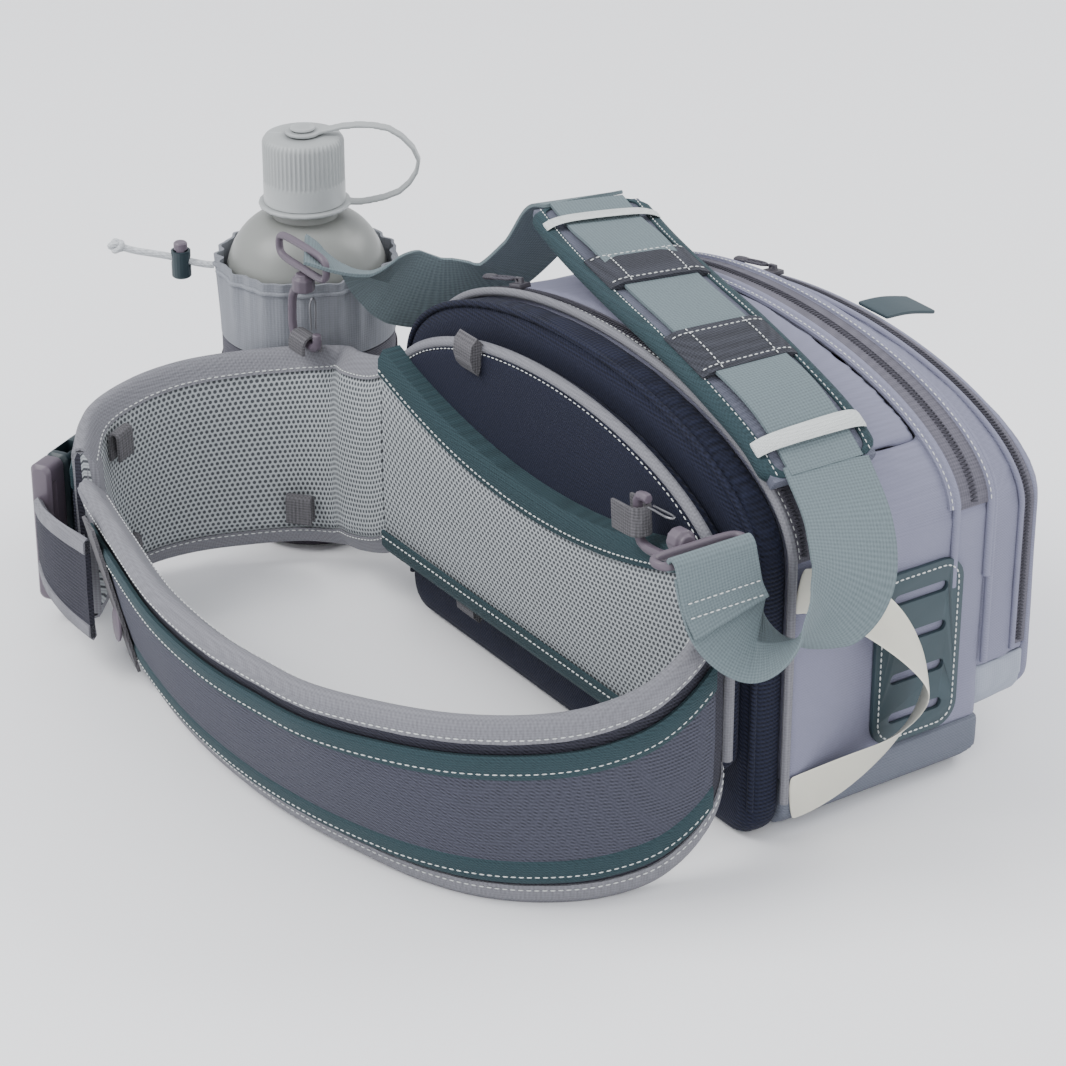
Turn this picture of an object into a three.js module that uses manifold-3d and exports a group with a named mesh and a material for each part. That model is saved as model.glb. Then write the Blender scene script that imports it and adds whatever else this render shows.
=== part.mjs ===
// Waist pack: a domed bag on a padded belt, with a carry strap, a bottle holder and a bottle.
// Millimetres, +Z up. +X runs across the wearer's back, +Y points away from the wearer.
// The origin is the middle of the bag's flat floor.
import * as THREE from 'three';
import { mergeVertices } from 'three/addons/utils/BufferGeometryUtils.js';
import Module from 'manifold-3d';

const wasm = await Module();
wasm.setup();

// ---- driving dimensions -------------------------------------------------------------------
const GAP = 0.4; // clearance between pieces that touch

const BAG_WIDTH = 310;
const BAG_DEPTH = 124; // main compartment, back seam to front seam
const SIDE_HEIGHT = 150; // straight part of the sides
const REAR_RISE = 66; // arch above the sides at the back seam
const FRONT_RISE = 56; // arch above the sides at the front seam
const FLOOR_CORNER = 16;
const SHELL_WALL = 4;
const BASE_HEIGHT = 30; // tough lower band of the shell
const LID_HALF_WIDTH = 128;
const LID_REAR_MARGIN = 14; // from the back seam to the top panel
const LID_FRONT_MARGIN = 28; // from the top panel to the front seam
const DIVIDER_THICKNESS = 5;
const DIVIDER_PLACE = 0.58; // share of the depth, from the back seam

const BACK_THICKNESS = 22; // padded panel behind the back seam
const REAR_ZIP_WIDTH = 9;
const MAIN_ZIP_WIDTH = 22;
const ZIP_TAPE = 1.6; // how far a zip tape stands off the shell

const POCKET_DEPTH = 36;
const POCKET_FLOOR = 24;
const POCKET_CAP_HEIGHT = 28; // light lower cap of the pocket
const POCKET_NARROWING = 5;
const POCKET_WALL = 3;
const POCKET_PANEL = 8; // padded front panel of the pocket
const POCKET_ZIP_WIDTH = 8;
const PULL_TAB = { width: 24, length: 30, thickness: 2.5 };

const PATCH = { depth: 54, height: 95, centreY: 17, topMargin: 22.5, corner: 13, thickness: 2.6 };
const PATCH_SLOT = { length: 34, height: 6, pitch: 22, count: 4 };
const SIDE_LOOP = { width: 26, thickness: 1.8, topMargin: 14, foot: 21 };

const LUMBAR = { half: 150, floor: 38, side: 130, rise: 68, corner: 16, thickness: 12 };
const BELT_THICKNESS = 12;
const BELT_CENTRE_HALF = 138;
const BELT_CENTRE_BOTTOM = 48;
const BELT_CENTRE_TOP = 138; // lowest point of the dipped top edge
const BELT_CENTRE_DIP = 26; // how far the top edge rises to its ends
const WING_BAND = { thickness: 3.4, low: 0.2, high: 0.78 };
const BELT_LOOP = { width: 15, reach: 7, height: 17, strip: 1.6 };

const BUCKLE = { tall: 82, thick: 14, body: 30, base: 16, wall: 2.6, travel: 40 };
const BUCKLE_PLACE = { x: -258, y: -240, z: 54, turn: -60 };
const BELT_WEB = { width: 60, thickness: 2 };

const STRAP_WEB = { width: 46, thickness: 2 };
const SLEEVE = { width: 64, thickness: 7 };
const SLEEVE_PATCH = { length: 38, thickness: 1.4 };
const KEEPER = { length: 8, thickness: 1.2, overhang: 3 };
const HOOK = { wire: 2.6, inner: 20, jaw: 34, neck: 4.2, stem: 14 };
const HOOK_LOOP = { width: 15, strip: 1.8, clear: 2 };
const RING = { bar: 2.4, width: 54, depth: 13 };

const BOTTLE = { radius: 46, wall: 2.2, neck: 21, shoulder: 150, rim: 208, floor: 4.2 };
const CAP = { radius: 23, height: 38, wall: 2.4, boss: 7, bossHeight: 5, base: 197 };
const TETHER = { reach: 64, thickness: 2.2, width: 7 };
const HOLDER = { wall: 2.6, fit: 1.4, height: 165, collar: 45, floor: 3.6 };
const HOLDER_SEAT = { x: -238.2, y: -98.9, awayX: -0.816, awayY: 0.578 }; // where it meets the far wing
const CORD = { diameter: 4 };
const CORD_LOCK = { radius: 5.6, height: 21, bore: 6.4, plunger: 3.9, travel: 3 };

const halfWidth = BAG_WIDTH / 2;
const backSeam = -BAG_DEPTH / 2;
const frontSeam = BAG_DEPTH / 2;

// ---- colours and finishes -----------------------------------------------------------------
const finish = (color, roughness = 0.85, metalness = 0) => ({ color, roughness, metalness });
const FINISH = {
  lavender: finish(0xa9a9bd),
  navy: finish(0x363a52),
  base: finish(0x767a88),
  zip: finish(0x6d6b78),
  rubber: finish(0x4c6268, 0.6),
  cream: finish(0xe9e6da, 0.55),
  mesh: finish(0xb9bfc4, 0.95),
  outer: finish(0x5a5b68),
  webbing: finish(0x96a8ac, 0.9),
  loop: finish(0x8f8c8a, 0.9),
  binding: finish(0x476a6d, 0.9),
  plastic: finish(0x8b7f89, 0.45),
  darkPlastic: finish(0x2d3b43, 0.5),
  wire: finish(0x9a9aa0, 0.35, 0.8),
  elastic: finish(0xe4ebe8, 0.8),
  bottle: finish(0xcfd3cd, 0.3),
  cap: finish(0xdfe4e4, 0.45),
  holder: finish(0x8d8c93, 0.9),
  collar: finish(0xb9bdc1, 0.9),
  cord: finish(0xc5c8ca, 0.9),
};

const pack = new THREE.Group();

function add(name, geometry, look, parent = pack) {
  const mesh = new THREE.Mesh(geometry, new THREE.MeshStandardMaterial(look));
  mesh.name = name;
  parent.add(mesh);
  return mesh;
}

// ---- shapes -------------------------------------------------------------------------------
const vec = (x, y, z) => new THREE.Vector3(x, y, z);
const mix = THREE.MathUtils.lerp;

function closedGeometry(points, faces) {
  let volume = 0;
  for (const [a, b, c] of faces) {
    volume += points[a].dot(points[b].clone().cross(points[c]));
  }
  const ordered = volume < 0 ? faces.map(([a, b, c]) => [a, c, b]) : faces;
  const geometry = new THREE.BufferGeometry();
  geometry.setAttribute('position', new THREE.Float32BufferAttribute(points.flatMap((p) => p.toArray()), 3));
  geometry.setIndex(ordered.flat());
  return geometry;
}

// Skins a row of rings that all have the same number of points, and closes both ends.
function loft(rings) {
  const count = rings[0].length;
  const faces = [];
  for (let i = 0; i < rings.length - 1; i += 1) {
    for (let j = 0; j < count; j += 1) {
      const [a, b] = [i * count + j, i * count + ((j + 1) % count)];
      faces.push([a, a + count, b + count], [a, b + count, b]);
    }
  }
  const last = (rings.length - 1) * count;
  for (let j = 1; j < count - 1; j += 1) {
    faces.push([0, j, j + 1], [last, last + j + 1, last + j]);
  }
  return closedGeometry(rings.flat(), faces);
}

function toSolid(geometry) {
  const bare = geometry.clone();
  bare.deleteAttribute('normal');
  bare.deleteAttribute('uv');
  const merged = mergeVertices(bare, 1e-4);
  const vertProperties = Float32Array.from(merged.attributes.position.array);
  const triVerts = Uint32Array.from(merged.index.array);
  return new wasm.Manifold(new wasm.Mesh({ numProp: 3, vertProperties, triVerts }));
}

function toGeometry(solid) {
  const mesh = solid.getMesh();
  const geometry = new THREE.BufferGeometry();
  geometry.setAttribute('position', new THREE.BufferAttribute(Float32Array.from(mesh.vertProperties), 3));
  geometry.setIndex(Array.from(mesh.triVerts));
  return geometry;
}

function block(low, high) {
  const size = high.clone().sub(low);
  const middle = low.clone().add(high).multiplyScalar(0.5);
  return new THREE.BoxGeometry(size.x, size.y, size.z).translate(middle.x, middle.y, middle.z);
}

const cut = (body, ...tools) => tools.reduce((left, tool) => left.subtract(toSolid(tool)), body);

// The bag's outline in the XZ plane: flat floor, round lower corners, straight sides, elliptic arch.
const ARCH_STEPS = 18;
const CORNER_STEPS = 4;

function outline({ half, side, rise, floor, corner }, inset = 0) {
  const points = [];
  const round = Math.max(corner - inset, 2);
  for (let i = 0; i <= CORNER_STEPS; i += 1) {
    const angle = (i / CORNER_STEPS - 1) * (Math.PI / 2);
    points.push([half - inset - round + round * Math.cos(angle), floor + inset + round + round * Math.sin(angle)]);
  }
  for (let i = 0; i <= ARCH_STEPS; i += 1) {
    const angle = (i / ARCH_STEPS) * Math.PI;
    points.push([(half - inset) * Math.cos(angle), side + (rise - inset) * Math.sin(angle)]);
  }
  const leftCorner = points.slice(0, CORNER_STEPS + 1).reverse().map(([x, z]) => [-x, z]);
  return points.concat(leftCorner);
}

const ring = (spec, y, inset = 0) => outline(spec, inset).map(([x, z]) => vec(x, y, z));

// The main compartment's outline at depth y: the arch gets lower towards the front.
function bodyAt(y) {
  const share = (y - backSeam) / BAG_DEPTH;
  return { half: halfWidth, side: SIDE_HEIGHT, rise: mix(REAR_RISE, FRONT_RISE, share), floor: 0, corner: FLOOR_CORNER };
}

// A strip laid along an outline's arch and, where wanted, down its straight sides to sideEnd.
function archBand(specAt, y0, y1, low, high, sideEnd) {
  const section = (t) => {
    const corner = (y, offset) => {
      const spec = specAt(y);
      if (t < 0 || t > 1) {
        return vec((t < 0 ? 1 : -1) * (spec.half + offset), y, sideEnd);
      }
      const angle = t * Math.PI;
      return vec((spec.half + offset) * Math.cos(angle), y, spec.side + (spec.rise + offset) * Math.sin(angle));
    };
    return [corner(y0, low), corner(y0, high), corner(y1, high), corner(y1, low)];
  };
  const steps = Array.from({ length: ARCH_STEPS + 1 }, (_, i) => i / ARCH_STEPS);
  const all = sideEnd === undefined ? steps : [-1, ...steps, 2];
  return loft(all.map(section));
}

// A flat strip swept along a smooth curve. Each stop is [x, y, z, wx, wy, wz], w being its width direction.
function strip(stops, width, low, high, steps) {
  const path = new THREE.CatmullRomCurve3(stops.map(([x, y, z]) => vec(x, y, z)), false, 'centripetal');
  const across = new THREE.CatmullRomCurve3(stops.map(([, , , x, y, z]) => vec(x, y, z)), false, 'centripetal');
  const rings = [];
  for (let i = 0; i <= steps; i += 1) {
    const t = i / steps;
    const tangent = path.getTangent(t);
    const wide = across.getPoint(t);
    wide.sub(tangent.clone().multiplyScalar(wide.dot(tangent))).normalize();
    const normal = tangent.clone().cross(wide).normalize();
    const at = (side, offset) => path.getPoint(t).addScaledVector(wide, side).addScaledVector(normal, offset);
    const half = width / 2;
    rings.push([at(-half, low), at(half, low), at(half, high), at(-half, high)]);
  }
  return loft(rings);
}

function tube(points, radius, sides, steps) {
  const path = new THREE.CatmullRomCurve3(points, false, 'centripetal');
  const section = new THREE.Shape();
  for (let i = 0; i < sides; i += 1) {
    const angle = (i / sides) * 2 * Math.PI;
    section[i ? 'lineTo' : 'moveTo'](radius * Math.cos(angle), radius * Math.sin(angle));
  }
  section.closePath();
  return new THREE.ExtrudeGeometry(section, { steps, extrudePath: path, bevelEnabled: false });
}

// A solid of revolution about a vertical line through (x, y); profile points are [radius, z].
function turned(profile, x, y, segments) {
  const points = profile.map(([radius, z]) => new THREE.Vector2(radius, z));
  return new THREE.LatheGeometry(points, segments).rotateX(Math.PI / 2).translate(x, y, 0);
}

// ---- main compartment ---------------------------------------------------------------------
const outerBody = toSolid(loft([ring(bodyAt(backSeam), backSeam), ring(bodyAt(frontSeam), frontSeam)]));
const innerBack = backSeam + SHELL_WALL;
const innerFront = frontSeam - SHELL_WALL;
const innerBody = loft([
  ring(bodyAt(innerBack), innerBack, SHELL_WALL),
  ring(bodyAt(innerFront), innerFront, SHELL_WALL),
]);
const wallBody = cut(outerBody, innerBody);
const FAR = 600; // beyond every edge of the object
const lidRear = backSeam + LID_REAR_MARGIN;
const lidFront = frontSeam - LID_FRONT_MARGIN;
const lidLow = SIDE_HEIGHT + 12;
const lidSpace = block(vec(-LID_HALF_WIDTH, lidRear, lidLow), vec(LID_HALF_WIDTH, lidFront, FAR));
const lidTool = block(
  vec(-LID_HALF_WIDTH + GAP, lidRear + GAP, lidLow),
  vec(LID_HALF_WIDTH - GAP, lidFront - GAP, FAR),
);
const below = (height) => block(vec(-FAR, -FAR, -FAR), vec(FAR, FAR, height));
add('base_tray', toGeometry(wallBody.intersect(toSolid(below(BASE_HEIGHT)))), FINISH.base);
add('main_shell', toGeometry(cut(wallBody, below(BASE_HEIGHT + GAP), lidSpace)), FINISH.lavender);
add('top_panel', toGeometry(wallBody.intersect(toSolid(lidTool))), FINISH.lavender);

const dividerY = mix(backSeam, frontSeam, DIVIDER_PLACE);
const dividerInset = SHELL_WALL + GAP + 0.4;
const dividerRing = (y) => ring(bodyAt(dividerY + DIVIDER_THICKNESS), y, dividerInset);
add('divider', loft([dividerRing(dividerY), dividerRing(dividerY + DIVIDER_THICKNESS)]), FINISH.base);

// The padded back panel stands behind the back seam and has rounded edges.
const backSpec = bodyAt(backSeam);
add('back_panel', loft([
  ring(backSpec, backSeam - BACK_THICKNESS, 7),
  ring(backSpec, backSeam - BACK_THICKNESS + 2.5, 2.5),
  ring(backSpec, backSeam - BACK_THICKNESS + 7, 0.5),
  ring(backSpec, backSeam - 5, 0.5),
  ring(backSpec, backSeam - GAP, 3),
]), FINISH.navy);

add('rear_zip_tape', archBand(bodyAt, backSeam + 1, backSeam + 1 + REAR_ZIP_WIDTH, GAP, GAP + ZIP_TAPE), FINISH.zip);
const mainZipFront = frontSeam - 2;
const mainZipRear = mainZipFront - MAIN_ZIP_WIDTH;
add('main_zip_tape', archBand(bodyAt, mainZipRear, mainZipFront, GAP, GAP + ZIP_TAPE), FINISH.zip);

// ---- front pocket -------------------------------------------------------------------------
const pocketRear = frontSeam + GAP;
const pocketFront = pocketRear + POCKET_DEPTH;
function pocketAt(y) {
  const share = (y - pocketRear) / POCKET_DEPTH;
  return {
    half: halfWidth - POCKET_NARROWING - 4 * share,
    side: SIDE_HEIGHT - 10 - 4 * share,
    rise: FRONT_RISE + 2 - 5 * share,
    floor: POCKET_FLOOR,
    corner: 14,
  };
}
const pocketOuter = toSolid(loft([
  ring(pocketAt(pocketRear), pocketRear, 2),
  ring(pocketAt(pocketRear + 6), pocketRear + 6),
  ring(pocketAt(pocketFront), pocketFront),
]));
const pocketSpace = loft([
  ring(pocketAt(pocketRear + POCKET_WALL), pocketRear + POCKET_WALL, POCKET_WALL + 2),
  ring(pocketAt(pocketFront + 1), pocketFront + 1, POCKET_WALL),
]);
const pocketWalls = cut(pocketOuter, pocketSpace);
const capTop = POCKET_FLOOR + POCKET_CAP_HEIGHT;
add('pocket_cap', toGeometry(pocketWalls.intersect(toSolid(below(capTop)))), FINISH.collar);
add('pocket_shell', toGeometry(cut(pocketWalls, below(capTop + GAP))), FINISH.lavender);
const panelRear = pocketFront + GAP;
const panelSpec = pocketAt(pocketFront);
add('pocket_panel', loft([
  ring(panelSpec, panelRear, 1),
  ring(panelSpec, panelRear + POCKET_PANEL * 0.5, 2),
  ring(panelSpec, panelRear + POCKET_PANEL * 0.85, 7),
  ring(panelSpec, panelRear + POCKET_PANEL, 16),
]), FINISH.lavender);
const pocketZipFront = pocketFront - 2;
add('pocket_zip_tape', archBand(
  pocketAt, pocketZipFront - POCKET_ZIP_WIDTH, pocketZipFront, GAP, GAP + ZIP_TAPE, capTop + 6,
), FINISH.zip);

const tabX = 14;
const tabRoot = panelRear + POCKET_PANEL * 0.4;
const tabZ = panelSpec.side + panelSpec.rise + 1.2;
add('front_pull_tab', strip([
  [tabX, tabRoot - 3, tabZ + 0.9, -1, 0, 0],
  [tabX, tabRoot + PULL_TAB.length * 0.4, tabZ + 0.2, -1, 0, 0],
  [tabX, tabRoot + PULL_TAB.length, tabZ - 4, -1, 0, 0],
], PULL_TAB.width, 0, PULL_TAB.thickness, 5), FINISH.rubber);

// ---- side patches and side loops ----------------------------------------------------------
function roundedRect(width, height, radius, Kind = THREE.Shape) {
  const [w, h] = [width / 2, height / 2];
  const shape = new Kind();
  shape.moveTo(-w + radius, -h);
  shape.lineTo(w - radius, -h);
  shape.absarc(w - radius, -h + radius, radius, -Math.PI / 2, 0);
  shape.lineTo(w, h - radius);
  shape.absarc(w - radius, h - radius, radius, 0, Math.PI / 2);
  shape.lineTo(-w + radius, h);
  shape.absarc(-w + radius, h - radius, radius, Math.PI / 2, Math.PI);
  shape.lineTo(-w, -h + radius);
  shape.absarc(-w + radius, -h + radius, radius, Math.PI, Math.PI * 1.5);
  return shape;
}

const patchZ = SIDE_HEIGHT - PATCH.topMargin - PATCH.height / 2;
const sides = { near: 1, far: -1 };
for (const [side, sign] of Object.entries(sides)) {
  const plate = roundedRect(PATCH.depth, PATCH.height, PATCH.corner);
  for (let i = 0; i < PATCH_SLOT.count; i += 1) {
    const centre = (i - (PATCH_SLOT.count - 1) / 2) * PATCH_SLOT.pitch;
    const slot = roundedRect(PATCH_SLOT.length, PATCH_SLOT.height, PATCH_SLOT.height / 2 - 0.1, THREE.Path);
    const outlinePoints = slot.getPoints(2).map((p) => new THREE.Vector2(p.x, p.y + centre));
    plate.holes.push(new THREE.Path(outlinePoints));
  }
  const patch = new THREE.ExtrudeGeometry(plate, { depth: PATCH.thickness, bevelEnabled: false, curveSegments: 4 });
  patch.rotateX(Math.PI / 2).rotateZ(Math.PI / 2);
  const inner = sign > 0 ? halfWidth + GAP : -halfWidth - GAP - PATCH.thickness;
  add(`side_patch_${side}`, patch.translate(inner, PATCH.centreY, patchZ), FINISH.rubber);

  const face = halfWidth + GAP + SIDE_LOOP.thickness / 2;
  const loopTop = SIDE_HEIGHT - SIDE_LOOP.topMargin;
  const upLoop = (share) => mix(SIDE_LOOP.foot, loopTop, share);
  const loopStops = [
    [face, -60, upLoop(1), 0, 0, 1],
    [face + 1, -50, upLoop(0.983), 0, 0, 1],
    [face + 8, -26, upLoop(0.878), -0.2, 0.3, 0.8],
    [face + 19, -4, upLoop(0.67), -0.6, 0.5, 0.5],
    [face + 23, 6, upLoop(0.461), -0.8, 0.56, 0],
    [face + 18, -6, upLoop(0.252), -0.6, 0.5, -0.5],
    [face + 8, -28, upLoop(0.096), -0.2, 0.3, -0.8],
    [face + 1, -50, upLoop(0.009), 0, 0, -1],
    [face, -60, upLoop(0), 0, 0, -1],
  ].map(([x, y, z, wx, wy, wz]) => [sign * x, y, z, sign * wx, wy, wz]);
  const half = SIDE_LOOP.thickness / 2;
  add(`side_loop_${side}`, strip(loopStops, SIDE_LOOP.width, -half, half, 22), FINISH.cream);
}

// ---- lumbar pad and belt ------------------------------------------------------------------
const lumbarBack = backSeam - BACK_THICKNESS - GAP;
const lumbarFace = lumbarBack - LUMBAR.thickness;
add('lumbar_pad', loft([
  ring(LUMBAR, lumbarFace, 3),
  ring(LUMBAR, lumbarFace + 3, 0),
  ring(LUMBAR, lumbarBack, 1),
]), FINISH.navy);

const beltOuter = lumbarFace - GAP;
const beltInner = beltOuter - BELT_THICKNESS;
const centreRings = [];
const CENTRE_STEPS = 12;
for (let i = 0; i <= CENTRE_STEPS; i += 1) {
  const x = mix(-BELT_CENTRE_HALF, BELT_CENTRE_HALF, i / CENTRE_STEPS);
  const top = BELT_CENTRE_TOP + BELT_CENTRE_DIP * (x / BELT_CENTRE_HALF) ** 2;
  const low = BELT_CENTRE_BOTTOM;
  centreRings.push([vec(x, beltOuter, low), vec(x, beltInner, low), vec(x, beltInner, top), vec(x, beltOuter, top)]);
}
add('belt_centre', loft(centreRings), FINISH.mesh);

// A wing is a standing padded band between a lower and an upper edge curve of its outer face.
function makeWing(lowEdge, highEdge) {
  const curve = (points) => new THREE.CatmullRomCurve3(points.map((p) => vec(...p)), false, 'centripetal');
  return { low: curve(lowEdge), high: curve(highEdge), centre: vec(-40, -170, 60) };
}

function wingPoint(wing, t, height, offset) {
  const [low, high] = [wing.low.getPointAt(t), wing.high.getPointAt(t)];
  const tangent = wing.low.getTangentAt(t).lerp(wing.high.getTangentAt(t), height);
  const normal = tangent.cross(high.clone().sub(low)).normalize();
  const point = low.lerp(high, height);
  if (normal.dot(point.clone().sub(wing.centre)) < 0) {
    normal.negate();
  }
  return point.addScaledVector(normal, offset);
}

function wingBand(wing, t0, t1, h0, h1, low, high, steps) {
  const rings = [];
  for (let i = 0; i <= steps; i += 1) {
    const t = mix(t0, t1, i / steps);
    rings.push([
      wingPoint(wing, t, h0, low), wingPoint(wing, t, h0, high),
      wingPoint(wing, t, h1, high), wingPoint(wing, t, h1, low),
    ]);
  }
  return loft(rings);
}

const beltEnd = BELT_CENTRE_HALF + 2 * GAP;
const wings = {
  near: makeWing([
    [beltEnd, beltOuter, 46], [beltEnd + 9, beltOuter, 38], [158, -112, 22], [158, -138, 6], [151, -167, 1],
    [137, -194, 0.5], [117, -215, 0.5], [88, -231, 0.5], [50, -242, 0.5], [9, -251, 0.5], [-34, -255, 0.5],
    [-88, -254, 0.5], [-146, -246, 1], [-198, -232, 3],
  ], [
    [beltEnd, beltOuter, 160], [beltEnd + 9, beltOuter, 153], [161, -114, 136], [167, -148, 118],
    [162, -178, 111], [150, -203, 108], [126, -237, 108], [91, -264, 108], [62, -279, 108], [28, -286, 108],
    [-11, -291, 108], [-66, -289, 108], [-140, -273, 106], [-201, -258, 102],
  ]),
  far: makeWing([
    [-beltEnd, beltOuter, 46], [-beltEnd - 14, beltOuter, 38], [-180, -95, 28], [-205, -91, 20],
    [-230, -104, 16], [-248, -132, 14], [-258, -165, 14], [-258, -196, 14], [-246, -226, 14], [-216, -250, 15],
  ], [
    [-beltEnd, beltOuter, 160], [-beltEnd - 14, beltOuter, 153], [-180, -95, 145], [-205, -89, 138],
    [-231, -102, 132], [-250, -130, 129], [-261, -165, 127], [-261, -196, 124], [-248, -228, 120],
    [-217, -252, 114],
  ]),
};
const WING_STEPS = { near: 32, far: 22 };
const BAND_STARTS = { near: 4, far: 7 }; // wing steps left bare at the bag's end
const bandLow = 5 * GAP;
const bandTop = bandLow + WING_BAND.thickness;
for (const side of ['near', 'far']) {
  const steps = WING_STEPS[side];
  const first = BAND_STARTS[side];
  const whole = wingBand(wings[side], 0, 1, 0, 1, -BELT_THICKNESS, 0, steps);
  add(`${side}_wing`, whole, FINISH.mesh);
  const band = wingBand(
    wings[side], first / steps, (steps - 1) / steps, WING_BAND.low, WING_BAND.high, bandLow, bandTop, steps - 1 - first,
  );
  add(`${side}_band`, band, FINISH.outer);
}

// Small folded webbing loops sewn on the wings' inner faces: two legs and a rounded end.
function foldedLoop(reach, height, thickness) {
  const shape = new THREE.Shape();
  const radius = reach / 2;
  shape.moveTo(0, 0);
  shape.lineTo(thickness, 0);
  shape.lineTo(thickness, height - radius);
  shape.absarc(radius, height - radius, radius - thickness, Math.PI, 0, true);
  shape.lineTo(reach - thickness, 0);
  shape.lineTo(reach, 0);
  shape.lineTo(reach, height - radius);
  shape.absarc(radius, height - radius, radius, 0, Math.PI);
  shape.lineTo(0, 0);
  return shape;
}

const loopPlaces = [['far', 0.84, 0.74], ['far', 0.84, 0.12], ['far', 0.36, 0.14]];
loopPlaces.forEach(([side, t, height], index) => {
  const depth = BELT_LOOP.width;
  const loop = new THREE.ExtrudeGeometry(
    foldedLoop(BELT_LOOP.reach, BELT_LOOP.height, BELT_LOOP.strip),
    { depth, bevelEnabled: false, curveSegments: 5 },
  );
  const wing = wings[side];
  const face = wingPoint(wing, t, height, -BELT_THICKNESS - 4 * GAP);
  const inward = wingPoint(wing, t, height, -BELT_THICKNESS - 1 - 4 * GAP).sub(face).normalize();
  const up = wing.high.getPointAt(t).sub(wing.low.getPointAt(t)).normalize();
  const along = inward.clone().cross(up).normalize();
  const frame = new THREE.Matrix4().makeBasis(inward, up, along);
  loop.translate(0, 0, -depth / 2).applyMatrix4(frame).translate(face.x, face.y, face.z);
  add(`belt_loop_${index + 1}`, loop, FINISH.loop);
});

// ---- buckle: its own frame has +X along the insertion, +Y outwards, +Z up --------------------
const buckle = new THREE.Group();
buckle.position.set(BUCKLE_PLACE.x, BUCKLE_PLACE.y, BUCKLE_PLACE.z);
buckle.rotation.z = THREE.MathUtils.degToRad(BUCKLE_PLACE.turn);
pack.add(buckle);
const tall = BUCKLE.tall / 2;
const thick = BUCKLE.thick / 2;
const mouth = 6;
const bodyEnd = mouth - BUCKLE.body;
const slotWide = 4;
const cavity = { start: bodyEnd + 9, tall: tall - 8, thick: thick - BUCKLE.wall };
const slab = (x0, x1, y, z, inset) => {
  const flat = (x, shrink) => {
    const corners = roundedRect(2 * (y - shrink), 2 * (z - shrink), Math.min(y, z) * 0.6);
    return corners.getPoints(3).slice(0, -1).map((p) => vec(x, p.x, p.y));
  };
  return loft([flat(x0, inset), flat(x0 + inset, 0), flat(x1 - inset, 0), flat(x1, inset)]);
};
add('buckle_body', toGeometry(cut(
  toSolid(slab(bodyEnd, mouth, thick, tall, 2)),
  block(vec(cavity.start, -cavity.thick, -cavity.tall), vec(mouth + 5, cavity.thick, cavity.tall)),
  block(vec(bodyEnd + 2.5, -FAR, -tall + 9), vec(bodyEnd + 2.5 + slotWide, FAR, tall - 9)),
  block(vec(cavity.start + 2, -cavity.thick, -FAR), vec(mouth - 5, cavity.thick, FAR)),
)), FINISH.darkPlastic, buckle);
const baseStart = mouth + GAP;
const baseEnd = baseStart + BUCKLE.base;
const guideReach = BUCKLE.body - 14;
add('buckle_plug', toGeometry(cut(
  toSolid(slab(baseStart, baseEnd, thick - 0.5, tall, 2)).add(toSolid(
    block(vec(baseStart - guideReach, -cavity.thick + GAP, -7), vec(baseStart + 3, cavity.thick - GAP, 7)),
  )),
  block(vec(baseEnd - 2.5 - slotWide, -FAR, -tall + 9), vec(baseEnd - 2.5, FAR, tall - 9)),
)), FINISH.plastic, buckle);
const prong = { rootX: baseStart - GAP, root: 23, tip: cavity.tall - GAP, reach: 19, width: 5 };
for (const [name, sign] of [['upper', 1], ['lower', -1]]) {
  const shape = new THREE.Shape();
  const tipX = prong.rootX - prong.reach;
  shape.moveTo(prong.rootX, prong.root);
  shape.lineTo(prong.rootX, prong.root + prong.width);
  shape.lineTo(tipX + 9, prong.tip);
  shape.lineTo(tipX + 2, prong.tip);
  shape.lineTo(tipX, prong.tip - 5);
  shape.lineTo(tipX + 3, prong.tip - 6);
  shape.closePath();
  const flex = new THREE.ExtrudeGeometry(shape, { depth: 2 * (cavity.thick - GAP), bevelEnabled: false });
  flex.translate(0, 0, -cavity.thick + GAP).rotateX(Math.PI / 2);
  if (sign < 0) {
    flex.rotateX(Math.PI);
  }
  add(`buckle_prong_${name}`, flex, FINISH.plastic, buckle);
}

// Belt webbing from the bands to the buckle's two bars; both lie just outside the wings.
const buckleAlong = vec(1, 0, 0).applyEuler(buckle.rotation);
const buckleOut = vec(0, -1, 0).applyEuler(buckle.rotation);
const buckleAt = (along, out) => buckle.position.clone().addScaledVector(buckleAlong, along)
  .addScaledVector(buckleOut, out);
const webHalf = BELT_WEB.thickness / 2;
function beltWeb(name, end, direction, wing, ts) {
  const start = buckleAt(end, 0);
  const second = buckleAt(end + direction * 9, 1);
  const outside = ts.map((t) => wingPoint(wing, t, 0.75, bandTop + GAP + 3 + webHalf));
  const stops = [start, second, ...outside].map((p) => [p.x, p.y, BUCKLE_PLACE.z, 0, 0, 1]);
  add(name, strip(stops, BELT_WEB.width, -webHalf, webHalf, 10), FINISH.outer);
}
beltWeb('belt_web_plug', baseEnd + GAP, 1, wings.near, [0.97, 0.945]);
beltWeb('belt_web_body', bodyEnd - GAP, -1, wings.far, [0.68, 0.62]);

// ---- carry strap --------------------------------------------------------------------------
// The route is laid out over a bag of this width and side height, and follows the bag's own size.
const LAID_OVER = { width: 310, side: 150 };
const overBag = ([x, y, z, ...across]) => [
  (x * BAG_WIDTH) / LAID_OVER.width, y, z + SIDE_HEIGHT - LAID_OVER.side, ...across,
];
const sleeveStops = [
  [-108, 2, 227], [-60, -12, 225.5], [0, -25, 223], [44, -32, 220], [90, -36, 211], [124, -36, 198], [143, -37, 186],
].map((p) => overBag([...p, 0.12, 1, 0]));
const sleeveSteps = 16;
add('sleeve_pad', strip(sleeveStops, SLEEVE.width, 0, SLEEVE.thickness, sleeveSteps), FINISH.binding);

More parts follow.
